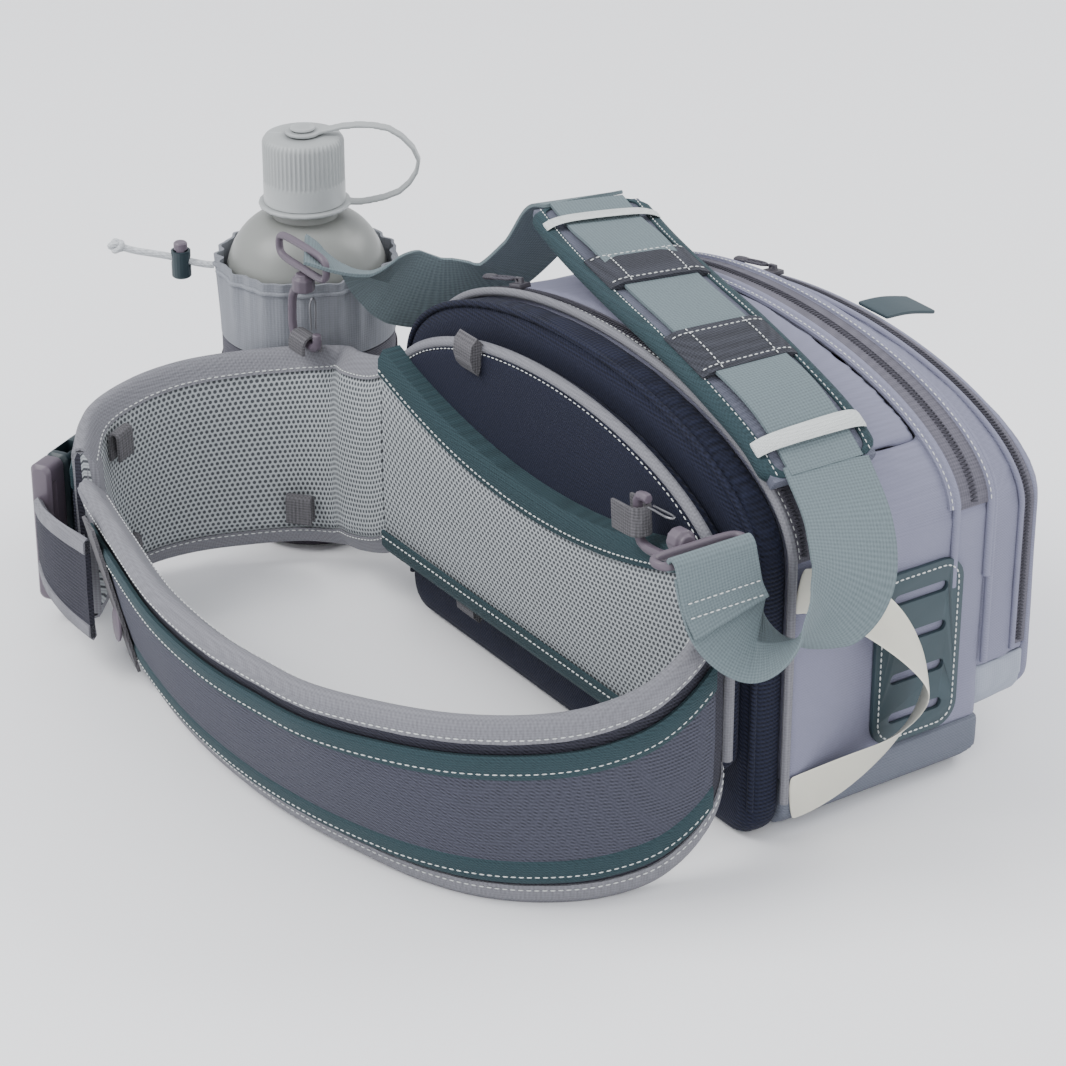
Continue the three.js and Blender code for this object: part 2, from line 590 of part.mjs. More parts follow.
function offsetStops(stops, t0, t1, count) {
  const path = new THREE.CatmullRomCurve3(stops.map(([x, y, z]) => vec(x, y, z)), false, 'centripetal');
  const across = new THREE.CatmullRomCurve3(stops.map(([, , , x, y, z]) => vec(x, y, z)), false, 'centripetal');
  return Array.from({ length: count }, (_, i) => {
    const t = mix(t0, t1, i / (count - 1));
    return [...path.getPoint(t).toArray(), ...across.getPoint(t).toArray()];
  });
}
const webLow = SLEEVE.thickness + GAP;
const webHigh = webLow + STRAP_WEB.thickness;
const coverLow = webHigh + GAP;
const sleevePath = new THREE.CatmullRomCurve3(sleeveStops.map(([x, y, z]) => vec(x, y, z)), false, 'centripetal');
const sleeveLength = sleevePath.getLength();
function sleeveCover(name, place, length, width, thickness, look) {
  const half = length / 2 / sleeveLength;
  const stops = offsetStops(sleeveStops, place - half, place + half, 4);
  add(name, strip(stops, width, coverLow, coverLow + thickness, 3), look);
}
const coverWidth = SLEEVE.width - 10;
sleeveCover('sleeve_patch_far', 0.34, SLEEVE_PATCH.length, coverWidth, SLEEVE_PATCH.thickness, FINISH.outer);
sleeveCover('sleeve_patch_near', 0.68, SLEEVE_PATCH.length, coverWidth, SLEEVE_PATCH.thickness, FINISH.outer);
sleeveCover('keeper_far', 0.1, KEEPER.length, coverWidth + KEEPER.overhang, KEEPER.thickness, FINISH.elastic);
sleeveCover('keeper_near', 0.93, KEEPER.length, coverWidth + KEEPER.overhang, KEEPER.thickness, FINISH.elastic);

// The swing axis runs through the far hook's bar and along the near hook's stem.
const farBar = vec(-218, -108, 141);
const nearBar = vec(102, -114, 168);
const swingAxis = nearBar.clone().sub(farBar).normalize();
const nearStem = nearBar.clone().addScaledVector(swingAxis, HOOK.jaw + HOOK.stem);

const nearRing = nearStem.clone().add(vec(9, 0, 0));
const farRing = farBar.clone().add(vec(0, 0, HOOK.jaw + HOOK.stem + 9));
const farStops = [
  [farRing.x + 1, farRing.y + 1, farRing.z + 5, -0.9, 0.45, 0],
  [farRing.x + 8, farRing.y + 12, farRing.z - 1, -0.5, 0.7, -0.5],
  [-202, -68, 174, 0, 0.25, -1],
  [-194, -38, 162, -0.1, 0.4, -1],
  overBag([-179, -12, 168, -0.3, 0.8, -0.6]),
  overBag([-158, 3, 193, -0.1, 1, -0.3]),
  overBag([-131, 5, 226, 0.1, 1, -0.1]),
  overBag([-110, 2.5, 235.5, 0.12, 1, 0]),
];
const besideBag = ([x, ...rest]) => [x + (BAG_WIDTH - LAID_OVER.width) / 2, ...rest];
const nearStops = [
  overBag([145.8, -37, 194, 0.12, 1, 0]),
  besideBag([172, -43, 174, 0.1, 1, 0]),
  besideBag([189, -54, 155, 0.1, 1, 0]),
  besideBag([193, -69, 141, 0, 1, 0]),
  besideBag([188, -86, 132, 0, 1, 0]),
  besideBag([180, -101, 132, 0, 1, 0]),
  [nearRing.x + 13, -111, 142, 0, 1, 0],
  [nearRing.x + 7.5, -114, 156, 0, 1, 0],
  [nearRing.x + 4.2, nearRing.y + 1, nearRing.z - 3, 0, 1, 0],
];
const strapHalf = STRAP_WEB.thickness / 2;
const onSleeve = offsetStops(sleeveStops, 0.002, 0.998, 9);
const strapWeb = toSolid(strip(farStops, STRAP_WEB.width, -strapHalf, strapHalf, 26))
  .add(toSolid(strip(onSleeve, STRAP_WEB.width, webLow, webHigh, sleeveSteps)))
  .add(toSolid(strip(nearStops, STRAP_WEB.width, -strapHalf, strapHalf, 26)));
add('strap_web', toGeometry(strapWeb), FINISH.webbing);

// Swivel hooks. In a hook's own frame the bar lies at the origin along X, and the stem points up Z.
function hookParts(label, place) {
  const group = new THREE.Group();
  group.matrixAutoUpdate = false;
  group.matrix.copy(place);
  pack.add(group);
  const { wire, inner, jaw, neck, stem } = HOOK;
  const arm = inner / 2 + wire;
  const noseHeight = 9;
  const frameCurve = [
    vec(arm, 0, noseHeight), vec(arm, 0, wire), vec(arm - wire, 0, 0), vec(0, 0, -0.01), vec(-arm + wire, 0, 0),
    vec(-arm, 0, wire * 1.4), vec(-arm - 0.5, 0, jaw * 0.45), vec(-arm + 1.5, 0, jaw * 0.75), vec(-4, 0, jaw - 2),
    vec(0, 0, jaw + 1),
  ];
  const shank = turned([[0, jaw - 3], [neck + 2, jaw - 3], [neck + 2, jaw + 4], [neck, jaw + 5],
    [neck, jaw + stem - 7.4], [0, jaw + stem - 7.4]], 0, 0, 10);
  const hookBody = toSolid(tube(frameCurve, wire, 6, 20)).add(toSolid(shank));
  add(`hook_${label}`, toGeometry(hookBody), FINISH.plastic, group);
  const gateLow = noseHeight + 1;
  const gateHigh = jaw - 3.6;
  const gate = new THREE.CylinderGeometry(1.1, 1.1, gateHigh - gateLow, 8).rotateX(Math.PI / 2);
  add(`gate_${label}`, gate.translate(arm - 3.2, 0, (gateLow + gateHigh) / 2), FINISH.wire, group);
}

// The ring is a flat rectangular loop of round bar, with a sleeve that turns on the hook's shank.
function ringParts(label, place) {
  const group = new THREE.Group();
  group.matrixAutoUpdate = false;
  group.matrix.copy(place);
  pack.add(group);
  const { bar, width, depth } = RING;
  const base = HOOK.jaw + HOOK.stem - 4.4;
  const [w, d] = [width / 2 - bar, depth];
  const loopPoints = [
    vec(0, 0, base), vec(w * 0.6, 0, base), vec(w, 0, base + 1.5), vec(w + 0.5, 0, base + d * 0.5),
    vec(w, 0, base + d - 1.5), vec(w * 0.6, 0, base + d), vec(-w * 0.6, 0, base + d), vec(-w, 0, base + d - 1.5),
    vec(-w - 0.5, 0, base + d * 0.5), vec(-w, 0, base + 1.5), vec(-w * 0.6, 0, base),
  ];
  const path = new THREE.CatmullRomCurve3(loopPoints, true, 'centripetal');
  const rings = [];
  const steps = 20;
  const sides = 8;
  for (let i = 0; i < steps; i += 1) {
    const t = i / steps;
    const tangent = path.getTangentAt(t);
    const normal = tangent.clone().cross(vec(0, 1, 0)).normalize();
    const centre = path.getPointAt(t);
    rings.push(Array.from({ length: sides }, (_, j) => {
      const angle = (j / sides) * 2 * Math.PI;
      return centre.clone().addScaledVector(normal, bar * Math.cos(angle))
        .addScaledVector(vec(0, 1, 0), bar * Math.sin(angle));
    }));
  }
  add(`ring_${label}`, loopOf(rings), FINISH.plastic, group);
}

// Skins rings into a closed hoop.
function loopOf(rings) {
  const count = rings[0].length;
  const faces = [];
  for (let i = 0; i < rings.length; i += 1) {
    for (let j = 0; j < count; j += 1) {
      const next = ((i + 1) % rings.length) * count;
      const [a, b] = [i * count + j, i * count + ((j + 1) % count)];
      const [c, d] = [next + j, next + ((j + 1) % count)];
      faces.push([a, c, d], [a, d, b]);
    }
  }
  return closedGeometry(rings.flat(), faces);
}

const farPlace = new THREE.Matrix4().makeTranslation(farBar.x, farBar.y, farBar.z);
const nearSide = vec(0, -1, 0).cross(swingAxis).normalize();
const nearPlace = new THREE.Matrix4().makeBasis(nearSide, vec(0, 0, 0).crossVectors(swingAxis, nearSide), swingAxis)
  .setPosition(nearBar);
hookParts('far', farPlace);
hookParts('near', nearPlace);
ringParts('far', farPlace);
const ringAcross = vec(0, 1, 0).addScaledVector(swingAxis, -swingAxis.y).normalize();
ringParts('near', new THREE.Matrix4().makeBasis(ringAcross, swingAxis.clone().cross(ringAcross), swingAxis)
  .setPosition(nearBar));

// The webbing loops that the hooks hold: hole along the hook's bar, legs towards the belt.
function hookLoop(label, place, legs, towards) {
  const inside = HOOK.wire + HOOK_LOOP.clear;
  const outside = inside + HOOK_LOOP.strip;
  const shape = new THREE.Shape();
  shape.moveTo(-outside, -legs);
  shape.lineTo(-inside, -legs);
  shape.lineTo(-inside, 0);
  shape.absarc(0, 0, inside, Math.PI, 0, true);
  shape.lineTo(inside, -legs);
  shape.lineTo(outside, -legs);
  shape.lineTo(outside, 0);
  shape.absarc(0, 0, outside, 0, Math.PI);
  shape.lineTo(-outside, -legs);
  const loop = new THREE.ExtrudeGeometry(shape, { depth: HOOK_LOOP.width, bevelEnabled: false, curveSegments: 6 });
  loop.translate(0, 0, -HOOK_LOOP.width / 2).applyMatrix4(towards).applyMatrix4(place);
  add(`hook_loop_${label}`, loop, FINISH.loop);
}
const holeAlongX = new THREE.Matrix4().makeBasis(vec(0, 1, 0), vec(0, 0, 1), vec(1, 0, 0));
hookLoop('far', farPlace, 4.8, holeAlongX);
hookLoop('near', nearPlace, 14, holeAlongX);

// ---- bottle, cap, tether and holder -------------------------------------------------------
const holderInner = BOTTLE.radius + HOLDER.fit;
const holderOuter = holderInner + HOLDER.wall;
const bottleX = HOLDER_SEAT.x + HOLDER_SEAT.awayX * holderOuter;
const bottleY = HOLDER_SEAT.y + HOLDER_SEAT.awayY * holderOuter;
const bottleProfile = (shrink) => [
  [0, BOTTLE.floor + shrink], [BOTTLE.radius - 8, BOTTLE.floor + shrink], [BOTTLE.radius - shrink, BOTTLE.floor + 10],
  [BOTTLE.radius - shrink, BOTTLE.shoulder], [BOTTLE.radius - 4 - shrink, BOTTLE.shoulder + 14],
  [BOTTLE.radius - 12 - shrink, BOTTLE.shoulder + 26], [BOTTLE.neck + 3 - shrink, BOTTLE.shoulder + 36],
  [BOTTLE.neck - 2.6 - shrink, BOTTLE.shoulder + 41], [BOTTLE.neck - 2.6 - shrink, BOTTLE.rim],
];
const bottleOutside = bottleProfile(0);
const bottleInside = bottleProfile(BOTTLE.wall).reverse();
add('bottle', turned([...bottleOutside, ...bottleInside], bottleX, bottleY, 24), FINISH.bottle);

const capTopZ = CAP.base + CAP.height;
const capInner = CAP.radius - CAP.wall;
add('bottle_cap', turned([
  [0, capTopZ - CAP.wall], [capInner - 1, capTopZ - CAP.wall], [capInner, capTopZ - CAP.wall - 1],
  [capInner, CAP.base], [CAP.radius, CAP.base], [CAP.radius, capTopZ - 3], [CAP.radius - 3, capTopZ],
  [CAP.boss - 2, capTopZ], [CAP.boss - 2, capTopZ + CAP.bossHeight - 1.6], [CAP.boss, capTopZ + CAP.bossHeight - 1.2],
  [CAP.boss - 1, capTopZ + CAP.bossHeight], [0, capTopZ + CAP.bossHeight],
], bottleX, bottleY, 24), FINISH.cap);

const washer = (inner, outer, z) => toSolid(turned(
  [[inner, z], [outer, z], [outer, z + TETHER.thickness], [inner, z + TETHER.thickness], [inner, z]],
  bottleX, bottleY, 24,
));
const tetherLow = CAP.base - GAP - TETHER.thickness;
const tetherHigh = capTopZ + GAP;
const outwards = vec(0.56, 0.83, 0);
const tetherSide = vec(0.83, -0.56, 0);
const tetherStop = (reach, z) => [bottleX + outwards.x * reach, bottleY + outwards.y * reach, z, ...tetherSide.toArray()];
const tetherHalf = TETHER.thickness / 2;
const tetherTop = tetherHigh + tetherHalf;
const tetherBottom = tetherLow + tetherHalf;
const tetherBow = strip([
  tetherStop(CAP.boss + 1, tetherTop), tetherStop(CAP.radius + 4, tetherTop + 4),
  tetherStop(TETHER.reach * 0.78, tetherTop + 1), tetherStop(TETHER.reach, mix(tetherTop, tetherBottom, 0.4)),
  tetherStop(TETHER.reach * 0.86, mix(tetherTop, tetherBottom, 0.82)),
  tetherStop(CAP.radius + 10, tetherBottom), tetherStop(CAP.radius + 1, tetherBottom),
], TETHER.width, -tetherHalf, tetherHalf, 16);
const tether = washer(CAP.boss - 2 + GAP, CAP.boss + 3, tetherHigh)
  .add(washer(BOTTLE.neck - 2.6 + GAP, CAP.radius + 3, tetherLow)).add(toSolid(tetherBow));
add('cap_tether', toGeometry(tether), FINISH.cap);

const collarBase = HOLDER.height - HOLDER.collar;
add('bottle_holder', turned([
  [0, 0], [holderOuter - 9, 0], [holderOuter - 2.6, 2.6], [holderOuter, 9], [holderOuter, collarBase - GAP],
  [holderInner, collarBase - GAP], [holderInner, HOLDER.floor], [0, HOLDER.floor],
], bottleX, bottleY, 24), FINISH.holder);
const collarFlare = 1.5;
add('holder_collar', turned([
  [holderInner, collarBase], [holderOuter, collarBase], [holderOuter + collarFlare, HOLDER.height],
  [holderInner + collarFlare, HOLDER.height], [holderInner, collarBase],
], bottleX, bottleY, 24), FINISH.collar);

// ---- drawcord, knot and cord lock ---------------------------------------------------------
const cordStops = [
  [-308.4, -113.5, 157], [-311.0, -117.3, 157.4], [-313.6, -121.1, 158.2],
  [-316.1, -125.0, 159.4], [-318.7, -128.8, 160.6], [-321.3, -132.6, 161.8],
  [-323.9, -136.4, 162.8], [-326.4, -140.2, 163.6], [-329.0, -144.0, 164.4],
  [-331.6, -147.9, 165.2], [-334.2, -151.7, 166.2], [-336.7, -155.5, 167.6],
].map((p) => vec(...p));
add('drawcord', tube(cordStops, CORD.diameter / 2, 8, 14), FINISH.cord);
const lockAt = cordStops[4];
const knotAt = cordStops[cordStops.length - 1];
const cordAlong = cordStops[5].clone().sub(cordStops[3]).normalize();
const knotRadius = 4.6;
const knot = new THREE.IcosahedronGeometry(knotRadius, 1);
const knotCentre = knotAt.clone().addScaledVector(cordAlong, knotRadius + GAP);
add('cord_knot', mergeVertices(knot.deleteAttribute('uv').deleteAttribute('normal'), 1e-4)
  .translate(knotCentre.x, knotCentre.y, knotCentre.z), FINISH.cord);

const lockLow = lockAt.z - CORD_LOCK.height / 2;
const lockHigh = lockAt.z + CORD_LOCK.height / 2 - 5;
const cordHole = (radius, stretch) => {
  const hole = new THREE.CylinderGeometry(radius, radius, 40, 12).scale(1, 1, stretch);
  const turn = new THREE.Quaternion().setFromUnitVectors(vec(0, 1, 0), cordAlong);
  return hole.applyQuaternion(turn).translate(lockAt.x, lockAt.y, lockAt.z);
};
const plungerClear = CORD_LOCK.plunger + GAP;
add('cord_lock_body', toGeometry(cut(toSolid(turned([
  [0, lockLow], [CORD_LOCK.radius - 0.8, lockLow], [CORD_LOCK.radius, lockLow + 0.8], [CORD_LOCK.radius, lockHigh],
  [plungerClear, lockHigh], [plungerClear, lockLow + 1.6], [0, lockLow + 1.6],
], lockAt.x, lockAt.y, 20)), cordHole(CORD_LOCK.bore / 2, 1))), FINISH.darkPlastic);
const plungerSlot = block(
  vec(-20, -CORD_LOCK.bore / 2, -CORD_LOCK.bore / 2),
  vec(20, CORD_LOCK.bore / 2, CORD_LOCK.bore / 2 + CORD_LOCK.travel),
);
plungerSlot.rotateZ(Math.atan2(cordAlong.y, cordAlong.x)).translate(lockAt.x, lockAt.y, lockAt.z);
const plungerTop = lockAt.z + CORD_LOCK.height / 2;
const plungerLow = lockLow + 1.6 + CORD_LOCK.travel + GAP;
add('cord_lock_button', toGeometry(cut(toSolid(turned([
  [0, plungerLow], [CORD_LOCK.plunger, plungerLow], [CORD_LOCK.plunger, plungerTop - 0.8],
  [CORD_LOCK.plunger - 0.8, plungerTop], [0, plungerTop],
], lockAt.x, lockAt.y, 16)), plungerSlot)), FINISH.plastic);

// ---- zip sliders and pulls ----------------------------------------------------------------
// A slider stands on its tape; its pull lies along the tape behind it.
function slider(label, specAt, y, x, towards) {
  const spec = specAt(y);
  const angle = Math.acos(x / spec.half);
  const lift = GAP + ZIP_TAPE + GAP;
  const foot = vec((spec.half + lift) * Math.cos(angle), y, spec.side + (spec.rise + lift) * Math.sin(angle));
  const along = vec(-spec.half * Math.sin(angle), 0, spec.rise * Math.cos(angle)).normalize().multiplyScalar(towards);
  const out = vec(0, 1, 0).cross(along).normalize();
  if (out.z < 0) {
    out.negate();
  }
  const basis = new THREE.Matrix4().makeBasis(along, out.clone().cross(along), out).setPosition(foot);
  const bodyHeight = 3;
  const body = toSolid(block(vec(-5, -3.6, 0.5), vec(5, 3.6, bodyHeight)))
    .add(toSolid(block(vec(-3, -1, bodyHeight - 0.1), vec(3, 1, bodyHeight + 3))));
  const eye = new THREE.CylinderGeometry(1, 1, 10, 10).translate(0.6, 0, bodyHeight + 1.3);
  const slotted = body.subtract(toSolid(eye));
  add(`${label}_zip_slider`, toGeometry(slotted).applyMatrix4(basis), FINISH.plastic);
  const pull = strip([
    [4.2, 0, bodyHeight + 1.8, 0, 1, 0], [12, 0, bodyHeight + 1.7, 0, 1, 0], [22, 0, bodyHeight + 1.4, 0, 1, 0],
    [34, 0, bodyHeight + 0.9, 0, 1, 0],
  ], 5.4, -1.3, 1.3, 5);
  add(`${label}_zip_pull`, pull.applyMatrix4(basis), FINISH.loop);
}
slider('rear', bodyAt, backSeam + 1 + REAR_ZIP_WIDTH / 2, -82, 1);
slider('main', bodyAt, (mainZipRear + mainZipFront) / 2, -96, 1);
slider('pocket', pocketAt, pocketZipFront - POCKET_ZIP_WIDTH / 2, -60, 1);

export default pack;
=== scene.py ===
import math

import bpy
from mathutils import Matrix, Vector, noise


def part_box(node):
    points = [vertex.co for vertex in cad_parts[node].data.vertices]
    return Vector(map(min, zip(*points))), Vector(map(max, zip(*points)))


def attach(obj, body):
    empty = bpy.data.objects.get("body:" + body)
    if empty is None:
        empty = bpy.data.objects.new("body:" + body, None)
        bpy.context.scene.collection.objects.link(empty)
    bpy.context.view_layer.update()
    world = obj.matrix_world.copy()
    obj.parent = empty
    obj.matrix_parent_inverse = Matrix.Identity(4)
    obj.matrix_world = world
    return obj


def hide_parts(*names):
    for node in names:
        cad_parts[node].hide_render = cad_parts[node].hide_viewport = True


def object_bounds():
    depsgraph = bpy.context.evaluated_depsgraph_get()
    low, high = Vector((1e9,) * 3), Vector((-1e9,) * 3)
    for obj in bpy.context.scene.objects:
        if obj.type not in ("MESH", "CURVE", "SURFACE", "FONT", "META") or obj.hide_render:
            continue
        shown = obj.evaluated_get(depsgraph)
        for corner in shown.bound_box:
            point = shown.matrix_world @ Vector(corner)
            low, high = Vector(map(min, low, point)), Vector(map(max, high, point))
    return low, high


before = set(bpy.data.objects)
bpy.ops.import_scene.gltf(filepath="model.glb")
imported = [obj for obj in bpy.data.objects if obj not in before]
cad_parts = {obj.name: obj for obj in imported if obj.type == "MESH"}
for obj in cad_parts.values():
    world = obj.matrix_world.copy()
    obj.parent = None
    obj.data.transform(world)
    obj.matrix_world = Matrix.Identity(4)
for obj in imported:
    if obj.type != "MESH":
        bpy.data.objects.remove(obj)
cad_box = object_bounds()
MM = 0.001

# ---- Camera ------------------------------------------------------------------------------
# The pack is seen from behind its right hip, a little above, through a long lens.
bag_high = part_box("main_shell")[1]
seam_depth = bag_high.y
azimuth, elevation = math.radians(55.8), math.radians(27)
right = Vector((math.cos(azimuth), math.sin(azimuth), 0))
back = Vector((
    math.sin(azimuth) * math.cos(elevation),
    -math.cos(azimuth) * math.cos(elevation),
    math.sin(elevation),
))
up = back.cross(right)
eye = -35.8 * MM * right + 91.1 * MM * up + 1789.5 * MM * back - Vector((0, seam_depth, 0))
camera_data = bpy.data.cameras.new("camera")
camera_data.lens = 114.8
camera_data.sensor_width = 36
camera = bpy.data.objects.new("camera", camera_data)
camera.matrix_world = Matrix((
    (right.x, up.x, back.x, eye.x),
    (right.y, up.y, back.y, eye.y),
    (right.z, up.z, back.z, eye.z),
    (0, 0, 0, 1),
))
bpy.context.scene.collection.objects.link(camera)
bpy.context.scene.camera = camera


# ---- Floor and light ---------------------------------------------------------------------
# A plain pale floor, three soft panels of light and an even pale sky.
def put(tree, kind, inputs, **settings):
    """Adds a node; an input's value is a constant or another node's output."""
    node = tree.nodes.new(kind)
    for key, value in settings.items():
        setattr(node, key, value)
    for key, value in inputs.items():
        if isinstance(value, bpy.types.NodeSocket):
            tree.links.new(value, node.inputs[key])
        else:
            node.inputs[key].default_value = value
    return node


def maths(tree, operation, *values):
    return put(tree, "ShaderNodeMath", dict(enumerate(values)), operation=operation)


def noisy(tree, place, scale, detail):
    return put(tree, "ShaderNodeTexNoise", {"Vector": place, "Scale": scale, "Detail": detail})


def scaled(tree, value, factor):
    return put(tree, "ShaderNodeVectorMath", {0: value, "Scale": factor}, operation="SCALE")


def bumped(tree, height, strength, distance):
    return put(tree, "ShaderNodeBump", {"Height": height, "Strength": strength, "Distance": distance})


def ranged(tree, value, low, high):
    return put(tree, "ShaderNodeMapRange", {"Value": value, "To Min": low, "To Max": high})


def blank_material(name):
    material = bpy.data.materials.new(name)
    material.use_nodes = True
    tree = material.node_tree
    tree.nodes.clear()
    shader = tree.nodes.new("ShaderNodeBsdfPrincipled")
    out = tree.nodes.new("ShaderNodeOutputMaterial")
    tree.links.new(shader.outputs["BSDF"], out.inputs["Surface"])
    return material, tree, shader


floor_material, _, floor_shader = blank_material("pale floor")
floor_shader.inputs["Base Color"].default_value = (0.94, 0.94, 0.95, 1)
floor_shader.inputs["Roughness"].default_value = 0.9
bpy.ops.object.select_all(action="DESELECT")
bpy.ops.mesh.primitive_plane_add(size=9, location=(0, 0, cad_box[0][2] - 0.0005))
floor = bpy.context.object
floor.name = "floor"
floor.data.materials.append(floor_material)

LIGHTS = {
    "key": ((-0.9, -1.7, 2.1), 1.4, 62),
    "fill": ((2.2, -0.8, 1.2), 1.6, 24),
    "rim": ((0.2, 2.0, 1.7), 1.3, 34),
}
for light_name, (place, size, power) in LIGHTS.items():
    light_data = bpy.data.lights.new(light_name, "AREA")
    light_data.size = size
    light_data.energy = power
    light = bpy.data.objects.new(light_name, light_data)
    light.location = place
    light.rotation_euler = (Vector((0, 0, 0.08)) - light.location).to_track_quat("-Z", "Y").to_euler()
    bpy.context.scene.collection.objects.link(light)
sky = bpy.data.worlds.new("sky")
sky.use_nodes = True
sky.node_tree.nodes["Background"].inputs["Color"].default_value = (0.93, 0.95, 1, 1)
sky.node_tree.nodes["Background"].inputs["Strength"].default_value = 1.15
bpy.context.scene.world = sky


# ---- Drawcord ----------------------------------------------------------------------------
# A short braided cord that gathers the holder's collar. It comes out of the collar's tunnel,
# runs through a barrel lock and ends in a knot.
def in_group(name, inputs, outputs):
    group = bpy.data.node_groups.new(name, "ShaderNodeTree")
    for label, kind, value in inputs:
        socket = group.interface.new_socket(label, in_out="INPUT", socket_type=kind)
        if value is not None:
            socket.default_value = value
    for label, kind in outputs:
        group.interface.new_socket(label, in_out="OUTPUT", socket_type=kind)
    entry = group.nodes.new("NodeGroupInput")
    leave = group.nodes.new("NodeGroupOutput")
    return group, entry.outputs, leave


def sine(tree, value, pitch):
    turned = maths(tree, "MULTIPLY_ADD", value, 2 * math.pi, 0.0)
    scaled = maths(tree, "DIVIDE", turned.outputs[0], pitch)
    return maths(tree, "SINE", scaled.outputs[0]).outputs[0]


# Threads crossing at right angles, with a slant that turns them into twill, and a slow drift
# of shade over the cloth. Shade is scaled by a factor about 1.
weave_group, weave_in, weave_out = in_group("weave", [
    ("Vector", "NodeSocketVector", None), ("Pitch", "NodeSocketFloat", 0.0018),
    ("Slant", "NodeSocketFloat", 0.0), ("Shade", "NodeSocketColor", (0.5, 0.5, 0.5, 1)),
    ("Drift", "NodeSocketFloat", 0.12), ("Contrast", "NodeSocketFloat", 0.2),
], [("Color", "NodeSocketColor"), ("Roughness", "NodeSocketFloat"), ("Height", "NodeSocketFloat")])
axes = put(weave_group, "ShaderNodeSeparateXYZ", {0: weave_in["Vector"]}).outputs
slanted = maths(weave_group, "MULTIPLY_ADD", axes[2], weave_in["Slant"], axes[0])
slanted_y = maths(weave_group, "MULTIPLY_ADD", axes[2], weave_in["Slant"], axes[1])
threads = [sine(weave_group, value, weave_in["Pitch"])
           for value in (slanted.outputs[0], slanted_y.outputs[0], axes[2])]
pair = maths(weave_group, "ADD", threads[0], threads[1])
thread_sum = maths(weave_group, "ADD", pair.outputs[0], threads[2])
fibre = noisy(weave_group, weave_in["Vector"], 900.0, 2.0)
drift = noisy(weave_group, weave_in["Vector"], 16.0, 3.0)
height = maths(weave_group, "MULTIPLY_ADD", thread_sum.outputs[0], 0.25, fibre.outputs["Fac"])
tone = maths(weave_group, "MULTIPLY_ADD", height.outputs[0], weave_in["Contrast"], 1.0)
shade_drift = maths(weave_group, "ADD", drift.outputs["Fac"], -0.5)
shade_part = maths(weave_group, "MULTIPLY_ADD", shade_drift.outputs[0], weave_in["Drift"], tone.outputs[0])
levelled = maths(weave_group, "MULTIPLY_ADD", weave_in["Contrast"], -0.5, shade_part.outputs[0])
woven_colour = scaled(weave_group, weave_in["Shade"], levelled.outputs[0])
rough = maths(weave_group, "MULTIPLY_ADD", drift.outputs["Fac"], 0.25, 0.68)
weave_group.links.new(woven_colour.outputs[0], weave_out.inputs["Color"])
weave_group.links.new(rough.outputs[0], weave_out.inputs["Roughness"])
weave_group.links.new(height.outputs[0], weave_out.inputs["Height"])


def coordinates(tree, source):
    return tree.nodes.new("ShaderNodeTexCoord").outputs[source]


def cloth(name, shade, pitch=1.6, slant=0.0, contrast=0.14, bump=0.35, sheen=0.02, source="Object"):
    """A woven cloth: pitch is its thread spacing in millimetres."""
    material, tree, shader = blank_material(name)
    woven = put(tree, "ShaderNodeGroup", {}, node_tree=weave_group)
    tree.links.new(coordinates(tree, source), woven.inputs["Vector"])
    woven.inputs["Pitch"].default_value = pitch * MM
    woven.inputs["Slant"].default_value = slant
    woven.inputs["Shade"].default_value = (*shade, 1)
    woven.inputs["Drift"].default_value = 0.14
    woven.inputs["Contrast"].default_value = contrast
    raised = bumped(tree, woven.outputs["Height"], bump, 0.4 * MM)
    tree.links.new(woven.outputs["Color"], shader.inputs["Base Color"])
    tree.links.new(woven.outputs["Roughness"], shader.inputs["Roughness"])
    tree.links.new(raised.outputs["Normal"], shader.inputs["Normal"])
    shader.inputs["Sheen Weight"].default_value = sheen
    shader.inputs["Specular IOR Level"].default_value = 0.2
    return material


def finish_mesh(piece, body, material, nodes=()):
    """Gives a finished piece its material and its body, and hides the CAD nodes that it stands for."""
    piece.data.materials.clear()
    piece.data.materials.append(material)
    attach(piece, body)
    if nodes:
        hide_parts(*nodes)
    return piece


def tube_along(name, points, radius, closed=False, sides=3):
    """A round cord or piping through the points, as a mesh."""
    curve = bpy.data.curves.new(name, "CURVE")
    curve.dimensions = "3D"
    curve.bevel_depth = radius
    curve.bevel_resolution = sides
    curve.use_fill_caps = not closed
    spline = curve.splines.new("POLY")
    spline.points.add(len(points) - 1)
    for knot, point in zip(spline.points, points):
        knot.co = (*point, 1)
    spline.use_cyclic_u = closed
    piece = bpy.data.objects.new(name, curve)
    bpy.context.scene.collection.objects.link(piece)
    bpy.ops.object.select_all(action="DESELECT")
    piece.select_set(True)
    bpy.context.view_layer.objects.active = piece
    bpy.ops.object.convert(target="MESH")
    bpy.ops.object.mode_set(mode="EDIT")
    bpy.ops.mesh.select_all(action="SELECT")
    bpy.ops.mesh.normals_make_consistent(inside=False)
    bpy.ops.object.mode_set(mode="OBJECT")
    bpy.ops.object.shade_smooth()
    return bpy.context.object


